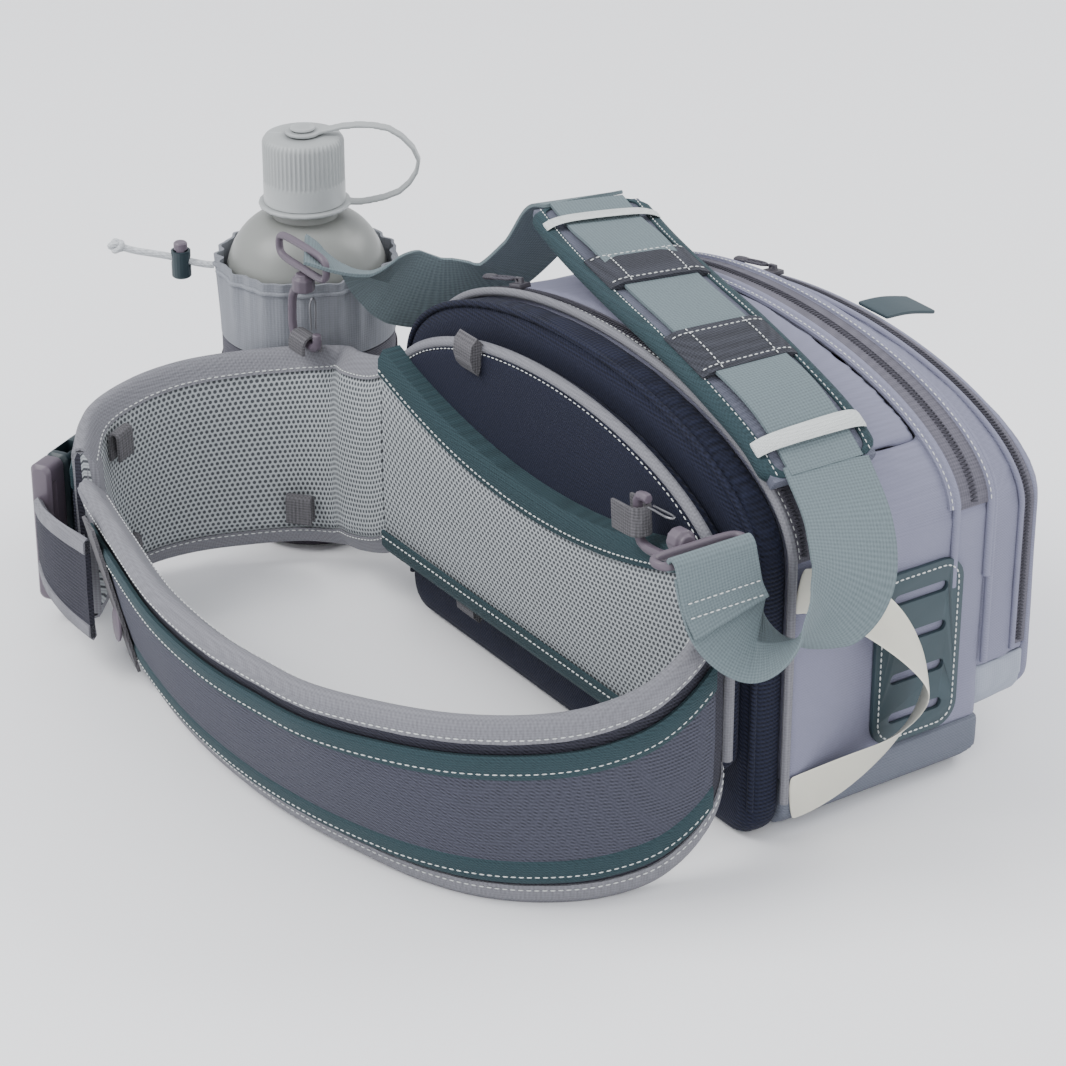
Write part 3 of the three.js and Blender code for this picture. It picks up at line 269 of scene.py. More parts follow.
def smooth_line(stops, count):
    """Evenly spaced points on a round curve through the stops."""
    inner = [Vector(stop) for stop in stops]
    held = [2 * inner[0] - inner[1], *inner, 2 * inner[-1] - inner[-2]]
    dense = []
    for p0, p1, p2, p3 in zip(held, held[1:], held[2:], held[3:]):
        d0, d1, d2 = [max(math.sqrt((b - a).length), 1e-4) for a, b in ((p0, p1), (p1, p2), (p2, p3))]
        m1 = ((p1 - p0) / d0 - (p2 - p0) / (d0 + d1) + (p2 - p1) / d1) * d1
        m2 = ((p2 - p1) / d1 - (p3 - p1) / (d1 + d2) + (p3 - p2) / d2) * d1
        for j in range(20):
            t = j / 20
            dense.append((2 * t**3 - 3 * t**2 + 1) * p1 + (t**3 - 2 * t**2 + t) * m1
                         + (-2 * t**3 + 3 * t**2) * p2 + (t**3 - t**2) * m2)
    dense.append(inner[-1])
    return evenly(dense, count)


def evenly(line, count):
    """The same line with count evenly spaced points."""
    run = [0.0]
    for a, b in zip(line, line[1:]):
        run.append(run[-1] + (b - a).length)
    points, k = [], 0
    for i in range(count):
        goal = run[-1] * i / (count - 1)
        while k < len(run) - 2 and run[k + 1] < goal:
            k += 1
        span = run[k + 1] - run[k]
        points.append(line[k].lerp(line[k + 1], (goal - run[k]) / span if span else 0))
    return points


CORD_DIAMETER = 4 * MM
cord_stops = [Vector(stop) * MM for stop in (
    (-308.4, -113.5, 157), (-311.0, -117.3, 157.4), (-313.6, -121.1, 158.2), (-316.1, -125.0, 159.4),
    (-318.7, -128.8, 160.6), (-321.3, -132.6, 161.8), (-323.9, -136.4, 162.8), (-326.4, -140.2, 163.6),
    (-329.0, -144.0, 164.4), (-331.6, -147.9, 165.2), (-334.2, -151.7, 166.2), (-336.7, -155.5, 167.6),
)]
cord_line = smooth_line(cord_stops, 60)
cord_cloth = cloth("braided cord", (0.56, 0.58, 0.60), pitch=1.5, slant=1.0, contrast=0.35, bump=0.8)
drawcord = tube_along("braided_drawcord", cord_line, CORD_DIAMETER / 2, sides=4)
finish_mesh(drawcord, "pack", cord_cloth, ["drawcord"])

# The knot is the cord wound once over itself.
knot_low, knot_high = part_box("cord_knot")
knot_centre = (knot_low + knot_high) / 2 + (cord_stops[-1] - (knot_low + knot_high) / 2) * 0.25
knot_size = (knot_high.z - knot_low.z) / 2
knot_turns = []
for i in range(72):
    turn = 2 * math.pi * i / 72
    spread = knot_size * (0.56 + 0.24 * math.cos(3 * turn))
    knot_turns.append(knot_centre + Vector((
        spread * math.cos(2 * turn), spread * math.sin(2 * turn), 0.40 * knot_size * math.sin(3 * turn))))
knot = tube_along("cord_end_knot", knot_turns, 0.38 * knot_size, closed=True)
finish_mesh(knot, "pack", cord_cloth, ["cord_knot"])


# ---- Bag shell ---------------------------------------------------------------------------
# Padded fabric panels sewn into a dome: lavender twill above, a tougher grey band below. The
# panels are soft, so their edges are round, and they pull in along the seams.
def only(piece):
    bpy.ops.object.select_all(action="DESELECT")
    piece.hide_set(False)
    piece.select_set(True)
    bpy.context.view_layer.objects.active = piece


def copy_of(node, name):
    """A merged copy of a CAD node, ready to be shaped."""
    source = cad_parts[node]
    piece = bpy.data.objects.new(name, source.data.copy())
    bpy.context.scene.collection.objects.link(piece)
    only(piece)
    piece.data.materials.clear()
    bpy.ops.object.mode_set(mode="EDIT")
    bpy.ops.mesh.select_all(action="SELECT")
    bpy.ops.mesh.remove_doubles(threshold=0.00005)
    bpy.ops.mesh.tris_convert_to_quads()
    bpy.ops.object.mode_set(mode="OBJECT")
    return piece


def apply_modifier(piece, kind, **settings):
    modifier = piece.modifiers.new(kind.lower(), kind)
    for key, value in settings.items():
        setattr(modifier, key, value)
    only(piece)
    bpy.ops.object.modifier_apply(modifier=modifier.name)


def softened(node, name, voxel, rounds=6):
    """The node's solid as soft goods: an even net of faces with rounded edges."""
    piece = copy_of(node, name)
    apply_modifier(piece, "REMESH", mode="VOXEL", voxel_size=voxel * MM)
    apply_modifier(piece, "SMOOTH", factor=0.5, iterations=rounds)
    bpy.ops.object.shade_smooth()
    return piece


def push(piece, amount):
    """Moves each vertex along its normal by amount(place, normal), in metres."""
    moves = [(v, v.normal.copy(), amount(v.co, v.normal)) for v in piece.data.vertices]
    for vertex, normal, distance in moves:
        vertex.co += normal * distance
    piece.data.update()


def dip(value, centre, width):
    return math.exp(-((value - centre) / width) ** 2)


HALF_WIDTH = bag_high.x
SIDE_TOP = 150 * MM
REAR_RISE = 66 * MM
FRONT_RISE = 56 * MM


def arch(y, angle, offset=0.0):
    """A point over the bag's arch at depth y; angle 0 is the near side and pi the far side."""
    share = (y + seam_depth) / (2 * seam_depth)
    rise = REAR_RISE + (FRONT_RISE - REAR_RISE) * share
    return Vector(((HALF_WIDTH + offset) * math.cos(angle), y, SIDE_TOP + (rise + offset) * math.sin(angle)))


def arch_line(y, offset, foot):
    """Up the near side from height foot, over the arch and down the far side."""
    near = [Vector((HALF_WIDTH + offset, y, foot + (SIDE_TOP - foot) * i / 12)) for i in range(12)]
    far = [Vector((-p.x, p.y, p.z)) for p in reversed(near)]
    over = [arch(y, math.pi * i / 70, offset) for i in range(71)]
    return near + over + far


def shell_shape(place, normal):
    seam = 1.1 * dip(place.z, SIDE_TOP, 2.2 * MM) * abs(normal.x)
    creases = 1.1 * noise.noise(place * 17) + 0.45 * noise.noise(place * 48)
    return (creases - 1.3 * seam) * MM


lavender = cloth("lavender twill", (0.205, 0.208, 0.282), pitch=1.5, slant=1.0, contrast=0.1, bump=0.25)
base_twill = cloth("grey base twill", (0.125, 0.137, 0.170), pitch=1.7, slant=1.0, contrast=0.22, bump=0.4)
shell = softened("main_shell", "shell_panels", 3.0)
push(shell, shell_shape)
for vertex in shell.data.vertices:
    if vertex.co.z < 36 * MM:
        vertex.co.z -= 3.5 * MM
finish_mesh(shell, "pack", lavender, ["main_shell"])
lid = softened("top_panel", "top_panel_cloth", 2.6)
push(lid, lambda place, normal: shell_shape(place, normal) + 0.9 * MM)
finish_mesh(lid, "pack", lavender, ["top_panel"])
tray = softened("base_tray", "base_band", 2.8)
push(tray, lambda place, normal: (0.9 + 0.4 * noise.noise(place * 20)) * (0 if normal.z < -0.5 else 1) * MM)
finish_mesh(tray, "pack", base_twill, ["base_tray"])
divider = softened("divider", "padded_divider", 3.0, 3)
finish_mesh(divider, "pack", base_twill, ["divider"])


# ---- Back panel and lumbar pad -----------------------------------------------------------
# Foam under navy ribbed nylon. The back panel closes the bag behind; the lumbar pad is sewn on
# it and carries the belt. Both have a grey tape or piping round their edge.
navy = cloth("navy ribbed nylon", (0.010, 0.012, 0.026), pitch=2.3, slant=1.0, contrast=0.8, bump=0.9)
navy_back = softened("back_panel", "back_panel_cloth", 3.4, 5)
finish_mesh(navy_back, "pack", navy, ["back_panel"])
lumbar = softened("lumbar_pad", "lumbar_cushion", 3.0, 4)
lumbar_low, lumbar_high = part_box("lumbar_pad")
push(lumbar, lambda place, normal: 1.3 * MM * max(0, -normal.y) * (1 + 0.4 * noise.noise(place * 12)))
finish_mesh(lumbar, "pack", navy, ["lumbar_pad"])

grey_tape = cloth("grey edging tape", (0.185, 0.185, 0.205), pitch=1.5, contrast=0.25, bump=0.5)
rear_piping = tube_along("rear_seam_piping", arch_line(-seam_depth - 1.0 * MM, 1.2 * MM, 20 * MM), 2.4 * MM)
finish_mesh(rear_piping, "pack", grey_tape)
back_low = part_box("back_panel")[0]
back_piping = tube_along(
    "back_panel_piping", arch_line(back_low.y + 2.5 * MM, -2.0 * MM, 20 * MM), 1.8 * MM)
finish_mesh(back_piping, "pack", navy)

LUMBAR_HALF = lumbar_high.x
LUMBAR_SIDE = 130 * MM
LUMBAR_RISE = lumbar_high.z - LUMBAR_SIDE
lumbar_edge = [
    Vector((LUMBAR_HALF * math.cos(a), lumbar_low.y + 2.0 * MM, LUMBAR_SIDE + LUMBAR_RISE * math.sin(a)))
    for a in (math.pi * i / 70 for i in range(71))
]
lumbar_foot = [Vector((LUMBAR_HALF, lumbar_low.y + 2.0 * MM, (52 + 6 * i) * MM)) for i in range(12)]
lumbar_line = lumbar_foot + lumbar_edge + [Vector((-p.x, p.y, p.z)) for p in reversed(lumbar_foot)]
lumbar_piping = tube_along("lumbar_edging", lumbar_line, 3.0 * MM)
finish_mesh(lumbar_piping, "pack", grey_tape)


# ---- Zips --------------------------------------------------------------------------------
# Nylon coil zips on woven tape: over the rear of the dome, a wide one in a recess between two
# pipings at the front, and one round the pocket.
def skin(name, rings):
    """A mesh over rows of points, with a UV map in metres: along the rows, then round them."""
    count = len(rings[0])
    verts = [p for ring_ in rings for p in ring_]
    along = [0.0]
    for a, b in zip(rings, rings[1:]):
        along.append(along[-1] + (b[0] - a[0]).length)
    across = [0.0]
    for a, b in zip(rings[0], rings[0][1:] + rings[0][:1]):
        across.append(across[-1] + (b - a).length)
    faces, uvs = [], []
    for i in range(len(rings) - 1):
        for j in range(count):
            k = (j + 1) % count
            faces.append((i * count + j, (i + 1) * count + j, (i + 1) * count + k, i * count + k))
            uvs += [(along[i], across[j]), (along[i + 1], across[j]),
                    (along[i + 1], across[j + 1]), (along[i], across[j + 1])]
    last = (len(rings) - 1) * count
    for cap, depth in ((range(count), 0.0), (range(last + count - 1, last - 1, -1), along[-1])):
        faces.append(tuple(cap))
        uvs += [(depth, across[v % count]) for v in cap]
    data = bpy.data.meshes.new(name)
    data.from_pydata(verts, [], faces)
    layer = data.uv_layers.new(name="cloth")
    layer.data.foreach_set("uv", [c for uv in uvs for c in uv])
    piece = bpy.data.objects.new(name, data)
    bpy.context.scene.collection.objects.link(piece)
    only(piece)
    bpy.ops.object.mode_set(mode="EDIT")
    bpy.ops.mesh.select_all(action="SELECT")
    bpy.ops.mesh.normals_make_consistent(inside=False)
    bpy.ops.object.mode_set(mode="OBJECT")
    bpy.ops.object.shade_smooth_by_angle(angle=math.radians(50))
    return piece


def tape_over(name, spec, y0, y1, low, high, start, end):
    """A tape laid over an arch between two depths; spec(y, angle, offset) is a point on it."""
    rings = []
    for i in range(91):
        angle = start + (end - start) * i / 90
        rings.append([spec(y, angle, offset) for y, offset in ((y0, low), (y1, low), (y1, high), (y0, high))])
    return skin(name, rings)


def coil(name, line, outward, radius, pitch):
    """A zip's coil: one flattened helix along the line."""
    total = sum((b - a).length for a, b in zip(line, line[1:]))
    turns = int(total / pitch)
    steps = turns * 6
    track = evenly(line, steps + 1)
    points = []
    for i in range(steps):
        ahead = (track[i + 1] - track[i]).normalized()
        out = outward(track[i])
        side = ahead.cross(out).normalized()
        turn = 2 * math.pi * i / 6
        points.append(track[i] + side * radius * 1.5 * math.cos(turn) + out * radius * 0.6 * math.sin(turn))
    return tube_along(name, points, 0.45 * MM, sides=1)


def arch_out(place):
    return Vector((place.x / HALF_WIDTH ** 2, 0, max(place.z - SIDE_TOP, 0) / REAR_RISE ** 2)).normalized()


zip_cloth = cloth("zip tape", (0.120, 0.115, 0.140), pitch=1.4, contrast=0.3, bump=0.5)
zip_coil = cloth("zip coil", (0.062, 0.060, 0.074), pitch=0.9, contrast=0.2, bump=0.3, sheen=0.0)
LOW = 0.4 * MM
HIGH = 1.6 * MM
rear_y = (-seam_depth + 1 * MM, -seam_depth + 10 * MM)
rear_tape = tape_over("rear_zip_cloth", arch, *rear_y, LOW, HIGH, 0.02, math.pi - 0.02)
finish_mesh(rear_tape, "pack", zip_cloth, ["rear_zip_tape"])
rear_middle = sum(rear_y) / 2
rear_line = [arch(rear_middle, 0.06 + (math.pi - 0.12) * i / 90, HIGH + 0.4 * MM) for i in range(91)]
rear_coil = coil("rear_zip_coil", rear_line, arch_out, 1.0 * MM, 1.9 * MM)
finish_mesh(rear_coil, "pack", zip_coil)

main_y = (seam_depth - 24 * MM, seam_depth - 2 * MM)
main_tape = tape_over("main_zip_cloth", arch, *main_y, LOW, HIGH, 0.02, math.pi - 0.02)
finish_mesh(main_tape, "pack", zip_cloth, ["main_zip_tape"])
main_middle = sum(main_y) / 2
main_line = [arch(main_middle, 0.06 + (math.pi - 0.12) * i / 90, HIGH + 0.4 * MM) for i in range(91)]
main_coil = coil("main_zip_coil", main_line, arch_out, 1.2 * MM, 2.1 * MM)
finish_mesh(main_coil, "pack", zip_coil)
for edge_name, edge_y in (("rear", main_y[0]), ("front", main_y[1])):
    lip = tube_along(f"main_zip_piping_{edge_name}", arch_line(edge_y, 1.3 * MM, 110 * MM), 2.1 * MM)
    finish_mesh(lip, "pack", lavender)
    outer, inner = (-4.7, 1.8) if edge_name == "rear" else (1.2, -1.8)
    guard = [[arch(edge_y + aside * MM, 0.05 + (math.pi - 0.1) * i / 80, lift * MM)
              for aside, lift in ((outer, 0.2), (inner, 2.0), (inner, 2.8), (outer, 2.0))] for i in range(81)]
    flap = skin(f"main_zip_guard_{edge_name}", guard)
    finish_mesh(flap, "pack", lavender)
seam_y = seam_depth + 0.5 * MM
front_piping = tube_along("front_seam_piping", arch_line(seam_y, 0.8 * MM, 60 * MM), 2.0 * MM)
finish_mesh(front_piping, "pack", lavender)


# ---- Front pocket ------------------------------------------------------------------------
# A shallow pocket: a light coated cap at the bottom, lavender walls, a padded front that zips
# off round three sides, and a rubber tab to pull it by.
pocket_low, pocket_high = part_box("pocket_shell")
POCKET_DEPTH = pocket_high.y - pocket_low.y
POCKET_NARROWING = 5 * MM


def pocket(y, angle, offset=0.0):
    share = (y - pocket_low.y) / POCKET_DEPTH
    half = HALF_WIDTH - POCKET_NARROWING - 4 * MM * share + offset
    side = SIDE_TOP - (10 + 4 * share) * MM
    rise = FRONT_RISE + (2 - 5 * share) * MM + offset
    return Vector((half * math.cos(angle), y, side + rise * math.sin(angle)))


def pocket_line(y, offset, foot):
    top = [pocket(y, math.pi * i / 70, offset) for i in range(71)]
    legs = [Vector((top[0].x, y, foot + (top[0].z - foot) * i / 14)) for i in range(14)]
    return legs + top + [Vector((-p.x, p.y, p.z)) for p in reversed(legs)]


def soft_folds(place, normal):
    return (0.9 * noise.noise(place * 21) + 0.35 * noise.noise(place * 60)) * MM


pocket_wall = softened("pocket_shell", "pocket_wall", 2.2, 5)
push(pocket_wall, soft_folds)
finish_mesh(pocket_wall, "pack", lavender, ["pocket_shell"])
cap_cloth = cloth("light coated cloth", (0.30, 0.325, 0.385), pitch=1.5, contrast=0.12, bump=0.2)
pocket_cap = softened("pocket_cap", "pocket_foot", 2.0, 5)
finish_mesh(pocket_cap, "pack", cap_cloth, ["pocket_cap"])
front = softened("pocket_panel", "pocket_front", 2.6, 8)
push(front, lambda place, normal: (1.6 * max(0, normal.y) * (1 + 0.5 * noise.noise(place * 14))) * MM)
finish_mesh(front, "front_panel", lavender, ["pocket_panel"])

pocket_y = (pocket_high.y - 10 * MM, pocket_high.y - 2 * MM)
pocket_middle = sum(pocket_y) / 2
pocket_rings = []
for p_low, p_high in zip(pocket_line(pocket_middle, LOW, 58 * MM), pocket_line(pocket_middle, HIGH, 58 * MM)):
    pocket_rings.append([Vector((q.x, y, q.z)) for q, y in (
        (p_low, pocket_y[0]), (p_low, pocket_y[1]), (p_high, pocket_y[1]), (p_high, pocket_y[0]))])
pocket_tape = skin("pocket_zip_cloth", pocket_rings)
finish_mesh(pocket_tape, "pack", zip_cloth, ["pocket_zip_tape"])


def pocket_out(place):
    return Vector((place.x, 0, max(place.z - SIDE_TOP + 12 * MM, 0) * 2.2)).normalized()


pocket_coil = coil("pocket_zip_coil", pocket_line(pocket_middle, HIGH + 0.4 * MM, 60 * MM), pocket_out,
                   1.0 * MM, 1.9 * MM)
finish_mesh(pocket_coil, "pack", zip_coil)
for edge_name, edge_y in (("rear", pocket_y[0]), ("front", pocket_y[1] + 1.6 * MM)):
    lip = tube_along(f"pocket_piping_{edge_name}", pocket_line(edge_y, 0.9 * MM, 56 * MM), 1.6 * MM)
    finish_mesh(lip, "pack", lavender)


def rubber_like(name, shade, roughness=0.5, bump=0.25, grain=420.0):
    """Moulded rubber or plastic: a fine spark texture, a slow drift of shade and paler edges."""
    material, tree, shader = blank_material(name)
    grained = put(tree, "ShaderNodeGroup", {}, node_tree=moulded_group)
    tree.links.new(coordinates(tree, "Object"), grained.inputs["Vector"])
    grained.inputs["Shade"].default_value = (*shade, 1)
    grained.inputs["Grain"].default_value = grain
    grained.inputs["Roughness"].default_value = roughness
    raised = bumped(tree, grained.outputs["Height"], bump, 0.2 * MM)
    tree.links.new(grained.outputs["Color"], shader.inputs["Base Color"])
    tree.links.new(grained.outputs["Roughness"], shader.inputs["Roughness"])
    tree.links.new(raised.outputs["Normal"], shader.inputs["Normal"])
    return material


moulded_group, moulded_in, moulded_out = in_group("moulded surface", [
    ("Vector", "NodeSocketVector", None), ("Shade", "NodeSocketColor", (0.5, 0.5, 0.5, 1)),
    ("Grain", "NodeSocketFloat", 420.0), ("Roughness", "NodeSocketFloat", 0.5),
], [("Color", "NodeSocketColor"), ("Roughness", "NodeSocketFloat"), ("Height", "NodeSocketFloat")])
grain_noise = noisy(moulded_group, moulded_in["Vector"], moulded_in["Grain"], 3.0)
smear = noisy(moulded_group, moulded_in["Vector"], 30.0, 4.0)
edge = put(moulded_group, "ShaderNodeMapRange", {
    "Value": moulded_group.nodes.new("ShaderNodeNewGeometry").outputs["Pointiness"],
    "From Min": 0.52, "From Max": 0.64, "To Min": 0.0, "To Max": 0.30})
smear_tone = maths(moulded_group, "MULTIPLY_ADD", smear.outputs["Fac"], 0.28, 0.86)
moulded_tone = maths(moulded_group, "ADD", smear_tone.outputs[0], edge.outputs[0])
moulded_colour = scaled(moulded_group, moulded_in["Shade"], moulded_tone.outputs[0])
moulded_rough = maths(moulded_group, "MULTIPLY_ADD", smear.outputs["Fac"], 0.22, moulded_in["Roughness"])
moulded_group.links.new(moulded_colour.outputs[0], moulded_out.inputs["Color"])
moulded_group.links.new(moulded_rough.outputs[0], moulded_out.inputs["Roughness"])
moulded_group.links.new(grain_noise.outputs["Fac"], moulded_out.inputs["Height"])


def rounded_copy(node, name, bevel=0.0, levels=2):
    """The node's solid with its edges rounded, for moulded and flat-strip pieces."""
    piece = copy_of(node, name)
    if bevel:
        apply_modifier(piece, "BEVEL", width=bevel * MM, segments=2, limit_method="ANGLE",
                       angle_limit=math.radians(30))
    if levels:
        apply_modifier(piece, "SUBSURF", levels=levels, render_levels=levels)
    bpy.ops.object.shade_smooth_by_angle(angle=math.radians(55))
    return piece


def cased(node, name, bevel, levels, body, material):
    """A rounded copy that takes its node's place."""
    return finish_mesh(rounded_copy(node, name, bevel, levels), body, material, [node])


patch_rubber = rubber_like("slate teal rubber", (0.026, 0.046, 0.056), roughness=0.45)
cased("front_pull_tab", "front_tab_rubber", 0.9, 2, "front_panel", patch_rubber)


# ---- Side patches and side loops ---------------------------------------------------------
# A moulded rubber patch with four lash slots is sewn to each side, over a wide cream band that
# twists as it stands off the bag.
def stitch_row(name, line, outward, pitch=3.6, length=2.5, radius=0.42):
    """Thread stitches along a line, as small capsules. outward(i) lifts them off the cloth."""
    total = sum((b - a).length for a, b in zip(line, line[1:]))
    count = max(2, int(total / (pitch * MM)))
    track = evenly(line, count * 2 + 1)
    verts, faces = [], []
    for i in range(count):
        centre = track[2 * i + 1]
        ahead = (track[2 * i + 2] - track[2 * i]).normalized()
        out = outward(centre)
        side = ahead.cross(out).normalized()
        out = side.cross(ahead)
        base = len(verts)
        for step, size in ((-0.5, 0.35), (-0.25, 1.0), (0.25, 1.0), (0.5, 0.35)):
            for k in range(6):
                turn = math.pi * k / 3
                verts.append(centre + ahead * step * length * MM
                             + (side * math.cos(turn) + out * math.sin(turn)) * radius * size * MM)
        for row in range(3):
            for k in range(6):
                a, b = base + row * 6 + k, base + row * 6 + (k + 1) % 6
                faces.append((a, b, b + 6, a + 6))
        faces.append(tuple(base + k for k in reversed(range(6))))
        faces.append(tuple(base + 18 + k for k in range(6)))
    data = bpy.data.meshes.new(name)
    data.from_pydata(verts, [], faces)
    piece = bpy.data.objects.new(name, data)
    bpy.context.scene.collection.objects.link(piece)
    only(piece)
    bpy.ops.object.shade_smooth()
    return piece


def sew(body, name, line, outward, *sizes):
    """A row of white stitches that rides on a body."""
    finish_mesh(stitch_row(name, line, outward, *sizes), body, thread)


thread = cloth("white thread", (0.66, 0.68, 0.67), pitch=0.7, slant=1.0, contrast=0.2, bump=0.3)
cream = rubber_like("cream rubber band", (0.60, 0.585, 0.500), roughness=0.4, grain=260.0)
for side_name, sign in (("near", 1), ("far", -1)):
    node = f"side_patch_{side_name}"
    cased(node, f"side_patch_rubber_{side_name}", 0.7, 0, "pack", patch_rubber)
    patch_low, patch_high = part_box(node)
    face_x = patch_high.x + 0.1 * MM if sign > 0 else patch_low.x - 0.1 * MM
    inset, corner = 3.2 * MM, 10 * MM
    border = []
    for cy, cz, start in ((patch_high.y, patch_high.z, 0), (patch_low.y, patch_high.z, 90),
                          (patch_low.y, patch_low.z, 180), (patch_high.y, patch_low.z, 270)):
        cy += (-1 if cy == patch_high.y else 1) * (inset + corner)
        cz += (-1 if cz == patch_high.z else 1) * (inset + corner)
        for k in range(7):
            turn = math.radians(start + 15 * k)
            border.append(Vector((face_x, cy + corner * math.cos(turn), cz + corner * math.sin(turn))))
    border.append(border[0].copy())
    sew("pack", f"side_patch_stitches_{side_name}", border, lambda p, s=sign: Vector((s, 0, 0)), 3.4, 2.3)
    cased(f"side_loop_{side_name}", f"cream_side_band_{side_name}", 0.0, 2, "pack", cream)


# ---- Stitching over the bag --------------------------------------------------------------
# Topstitching runs beside the zips and the seams that arch over the bag.
for row_name, depth, offset in (
        ("zip_rear", main_y[0] - 3.2 * MM, 2.45 * MM), ("zip_front", main_y[1] - 1.2 * MM, 3.2 * MM),
        ("rear_seam", rear_y[0] + 1.4 * MM, 2.0 * MM)):
    row = [arch(depth, 0.04 + (math.pi - 0.08) * i / 160, offset) for i in range(161)]
    sew("pack", f"bag_stitches_{row_name}", row, arch_out, 3.6, 2.3, 0.28)
lumbar_row = [Vector((p.x * 0.975, lumbar_low.y - 1.2 * MM, LUMBAR_SIDE + (p.z - LUMBAR_SIDE) * 0.96))
              for p in lumbar_edge]
sew("pack", "lumbar_stitches", lumbar_row, lambda p: Vector((0, -1, 0)), 3.8, 2.4, 0.3)

# ---- Belt --------------------------------------------------------------------------------
# A wide padded belt that stands up by itself: light air mesh against the body, dark twill
# outside, foam between, and grey tape bound over every edge. A band with two teal edges runs
# round the outside and carries the stitching.
WINGS = {
    "near": (
        ((138.8, -96.8, 46), (147.8, -96.8, 38), (158, -112, 22), (158, -138, 6), (151, -167, 1),
         (137, -194, 0.5), (117, -215, 0.5), (88, -231, 0.5), (50, -242, 0.5), (9, -251, 0.5),
         (-34, -255, 0.5), (-88, -254, 0.5), (-146, -246, 1), (-198, -232, 3)),
        ((138.8, -96.8, 160), (147.8, -96.8, 153), (161, -114, 136), (167, -148, 118), (162, -178, 111),
         (150, -203, 108), (126, -237, 108), (91, -264, 108), (62, -279, 108), (28, -286, 108),
         (-11, -291, 108), (-66, -289, 108), (-140, -273, 106), (-201, -258, 102)),
    ),
    "far": (
        ((-138.8, -96.8, 46), (-152.8, -96.8, 38), (-180, -95, 28), (-205, -91, 20), (-230, -104, 16),
         (-248, -132, 14), (-258, -165, 14), (-258, -196, 14), (-246, -226, 14), (-216, -250, 15)),
        ((-138.8, -96.8, 160), (-152.8, -96.8, 153), (-180, -95, 145), (-205, -89, 138), (-231, -102, 132),
         (-250, -130, 129), (-261, -165, 127), (-261, -196, 124), (-248, -228, 120), (-217, -252, 114)),
    ),
}
WING_STEPS = 150
belt_middle = Vector((-40, -170, 60)) * MM
wing_edges = {
    side: [smooth_line([Vector(p) * MM for p in edge_stops], WING_STEPS + 1) for edge_stops in pair_]
    for side, pair_ in WINGS.items()
}


def on_wing(side, i, share, offset):
    """A point of the belt's outer face at step i and share of its height, offset outwards."""
    low, high = wing_edges[side]
    i = min(max(i, 0), WING_STEPS)
    a, b = max(i - 1, 0), min(i + 1, WING_STEPS)
    tangent = (low[b] - low[a]).normalized().lerp((high[b] - high[a]).normalized(), share)
    normal = tangent.cross(high[i] - low[i]).normalized()
    point = low[i].lerp(high[i], share)
    if normal.dot(point - belt_middle) < 0:
        normal = -normal
    return point + normal * offset


def wing_strip(name, side, first, last, outline_at):
    """A piece running along a wing; outline_at(i) lists its (millimetres up, offset) corners."""
    rings = []
    for i in range(first, last + 1):
        tall = (wing_edges[side][1][i] - wing_edges[side][0][i]).length
        rings.append([on_wing(side, i, up_mm * MM / tall, out * MM)
                      for up_mm, out in outline_at(i, tall / MM)])
    return skin(name, rings)


hex_group, hex_in, hex_out = in_group("air mesh", [
    ("Vector", "NodeSocketVector", None), ("Cell", "NodeSocketFloat", 0.0034),
    ("Shade", "NodeSocketColor", (0.6, 0.6, 0.6, 1)), ("Hole", "NodeSocketColor", (0.2, 0.2, 0.2, 1)),
], [("Color", "NodeSocketColor"), ("Height", "NodeSocketFloat")])
hex_axes = put(hex_group, "ShaderNodeSeparateXYZ", {0: hex_in["Vector"]}).outputs
tall_cell = maths(hex_group, "MULTIPLY", hex_in["Cell"], 1.732)
distances = []
for shift in (0.0, 0.5):
    offsets = []
    for axis, size, stretch in ((0, hex_in["Cell"], 1.0), (1, tall_cell.outputs[0], 1.732)):
        cells = maths(hex_group, "DIVIDE", hex_axes[axis], size)
        moved = maths(hex_group, "ADD", cells.outputs[0], shift + 100)
        part = maths(hex_group, "FRACT", moved.outputs[0])
        centred = maths(hex_group, "ADD", part.outputs[0], -0.5)
        offsets.append(maths(hex_group, "MULTIPLY", centred.outputs[0], stretch))
    joined = put(hex_group, "ShaderNodeCombineXYZ", {0: offsets[0].outputs[0], 1: offsets[1].outputs[0]})
    length = put(hex_group, "ShaderNodeVectorMath", {0: joined.outputs[0]}, operation="LENGTH")
    distances.append(length.outputs["Value"])
nearest = maths(hex_group, "MINIMUM", distances[0], distances[1])
open_part = put(hex_group, "ShaderNodeMapRange", {
    "Value": nearest.outputs[0], "From Min": 0.24, "From Max": 0.40, "To Min": 0.0, "To Max": 1.0})
# The holes take the dark hole colour: partly the darker backing seen through them, partly painted shade
# inside the openings.
mesh_tone = put(hex_group, "ShaderNodeMix", {
    "Factor": open_part.outputs[0], 6: hex_in["Hole"], 7: hex_in["Shade"]}, data_type="RGBA")
hex_group.links.new(mesh_tone.outputs[2], hex_out.inputs["Color"])
hex_group.links.new(open_part.outputs[0], hex_out.inputs["Height"])

air_mesh, mesh_tree, mesh_shader = blank_material("air mesh lining")
mesh_node = put(mesh_tree, "ShaderNodeGroup", {}, node_tree=hex_group)
mesh_tree.links.new(coordinates(mesh_tree, "UV"), mesh_node.inputs["Vector"])
mesh_node.inputs["Cell"].default_value = 3.3 * MM
mesh_node.inputs["Shade"].default_value = (0.40, 0.425, 0.44, 1)
# Dark hole colour: the backing cloth plus painted shade inside the mesh openings.
mesh_node.inputs["Hole"].default_value = (0.065, 0.07, 0.078, 1)
mesh_bump = bumped(mesh_tree, mesh_node.outputs["Height"], 0.8, 0.8 * MM)
mesh_tree.links.new(mesh_node.outputs["Color"], mesh_shader.inputs["Base Color"])
mesh_tree.links.new(mesh_bump.outputs["Normal"], mesh_shader.inputs["Normal"])
mesh_shader.inputs["Roughness"].default_value = 0.9

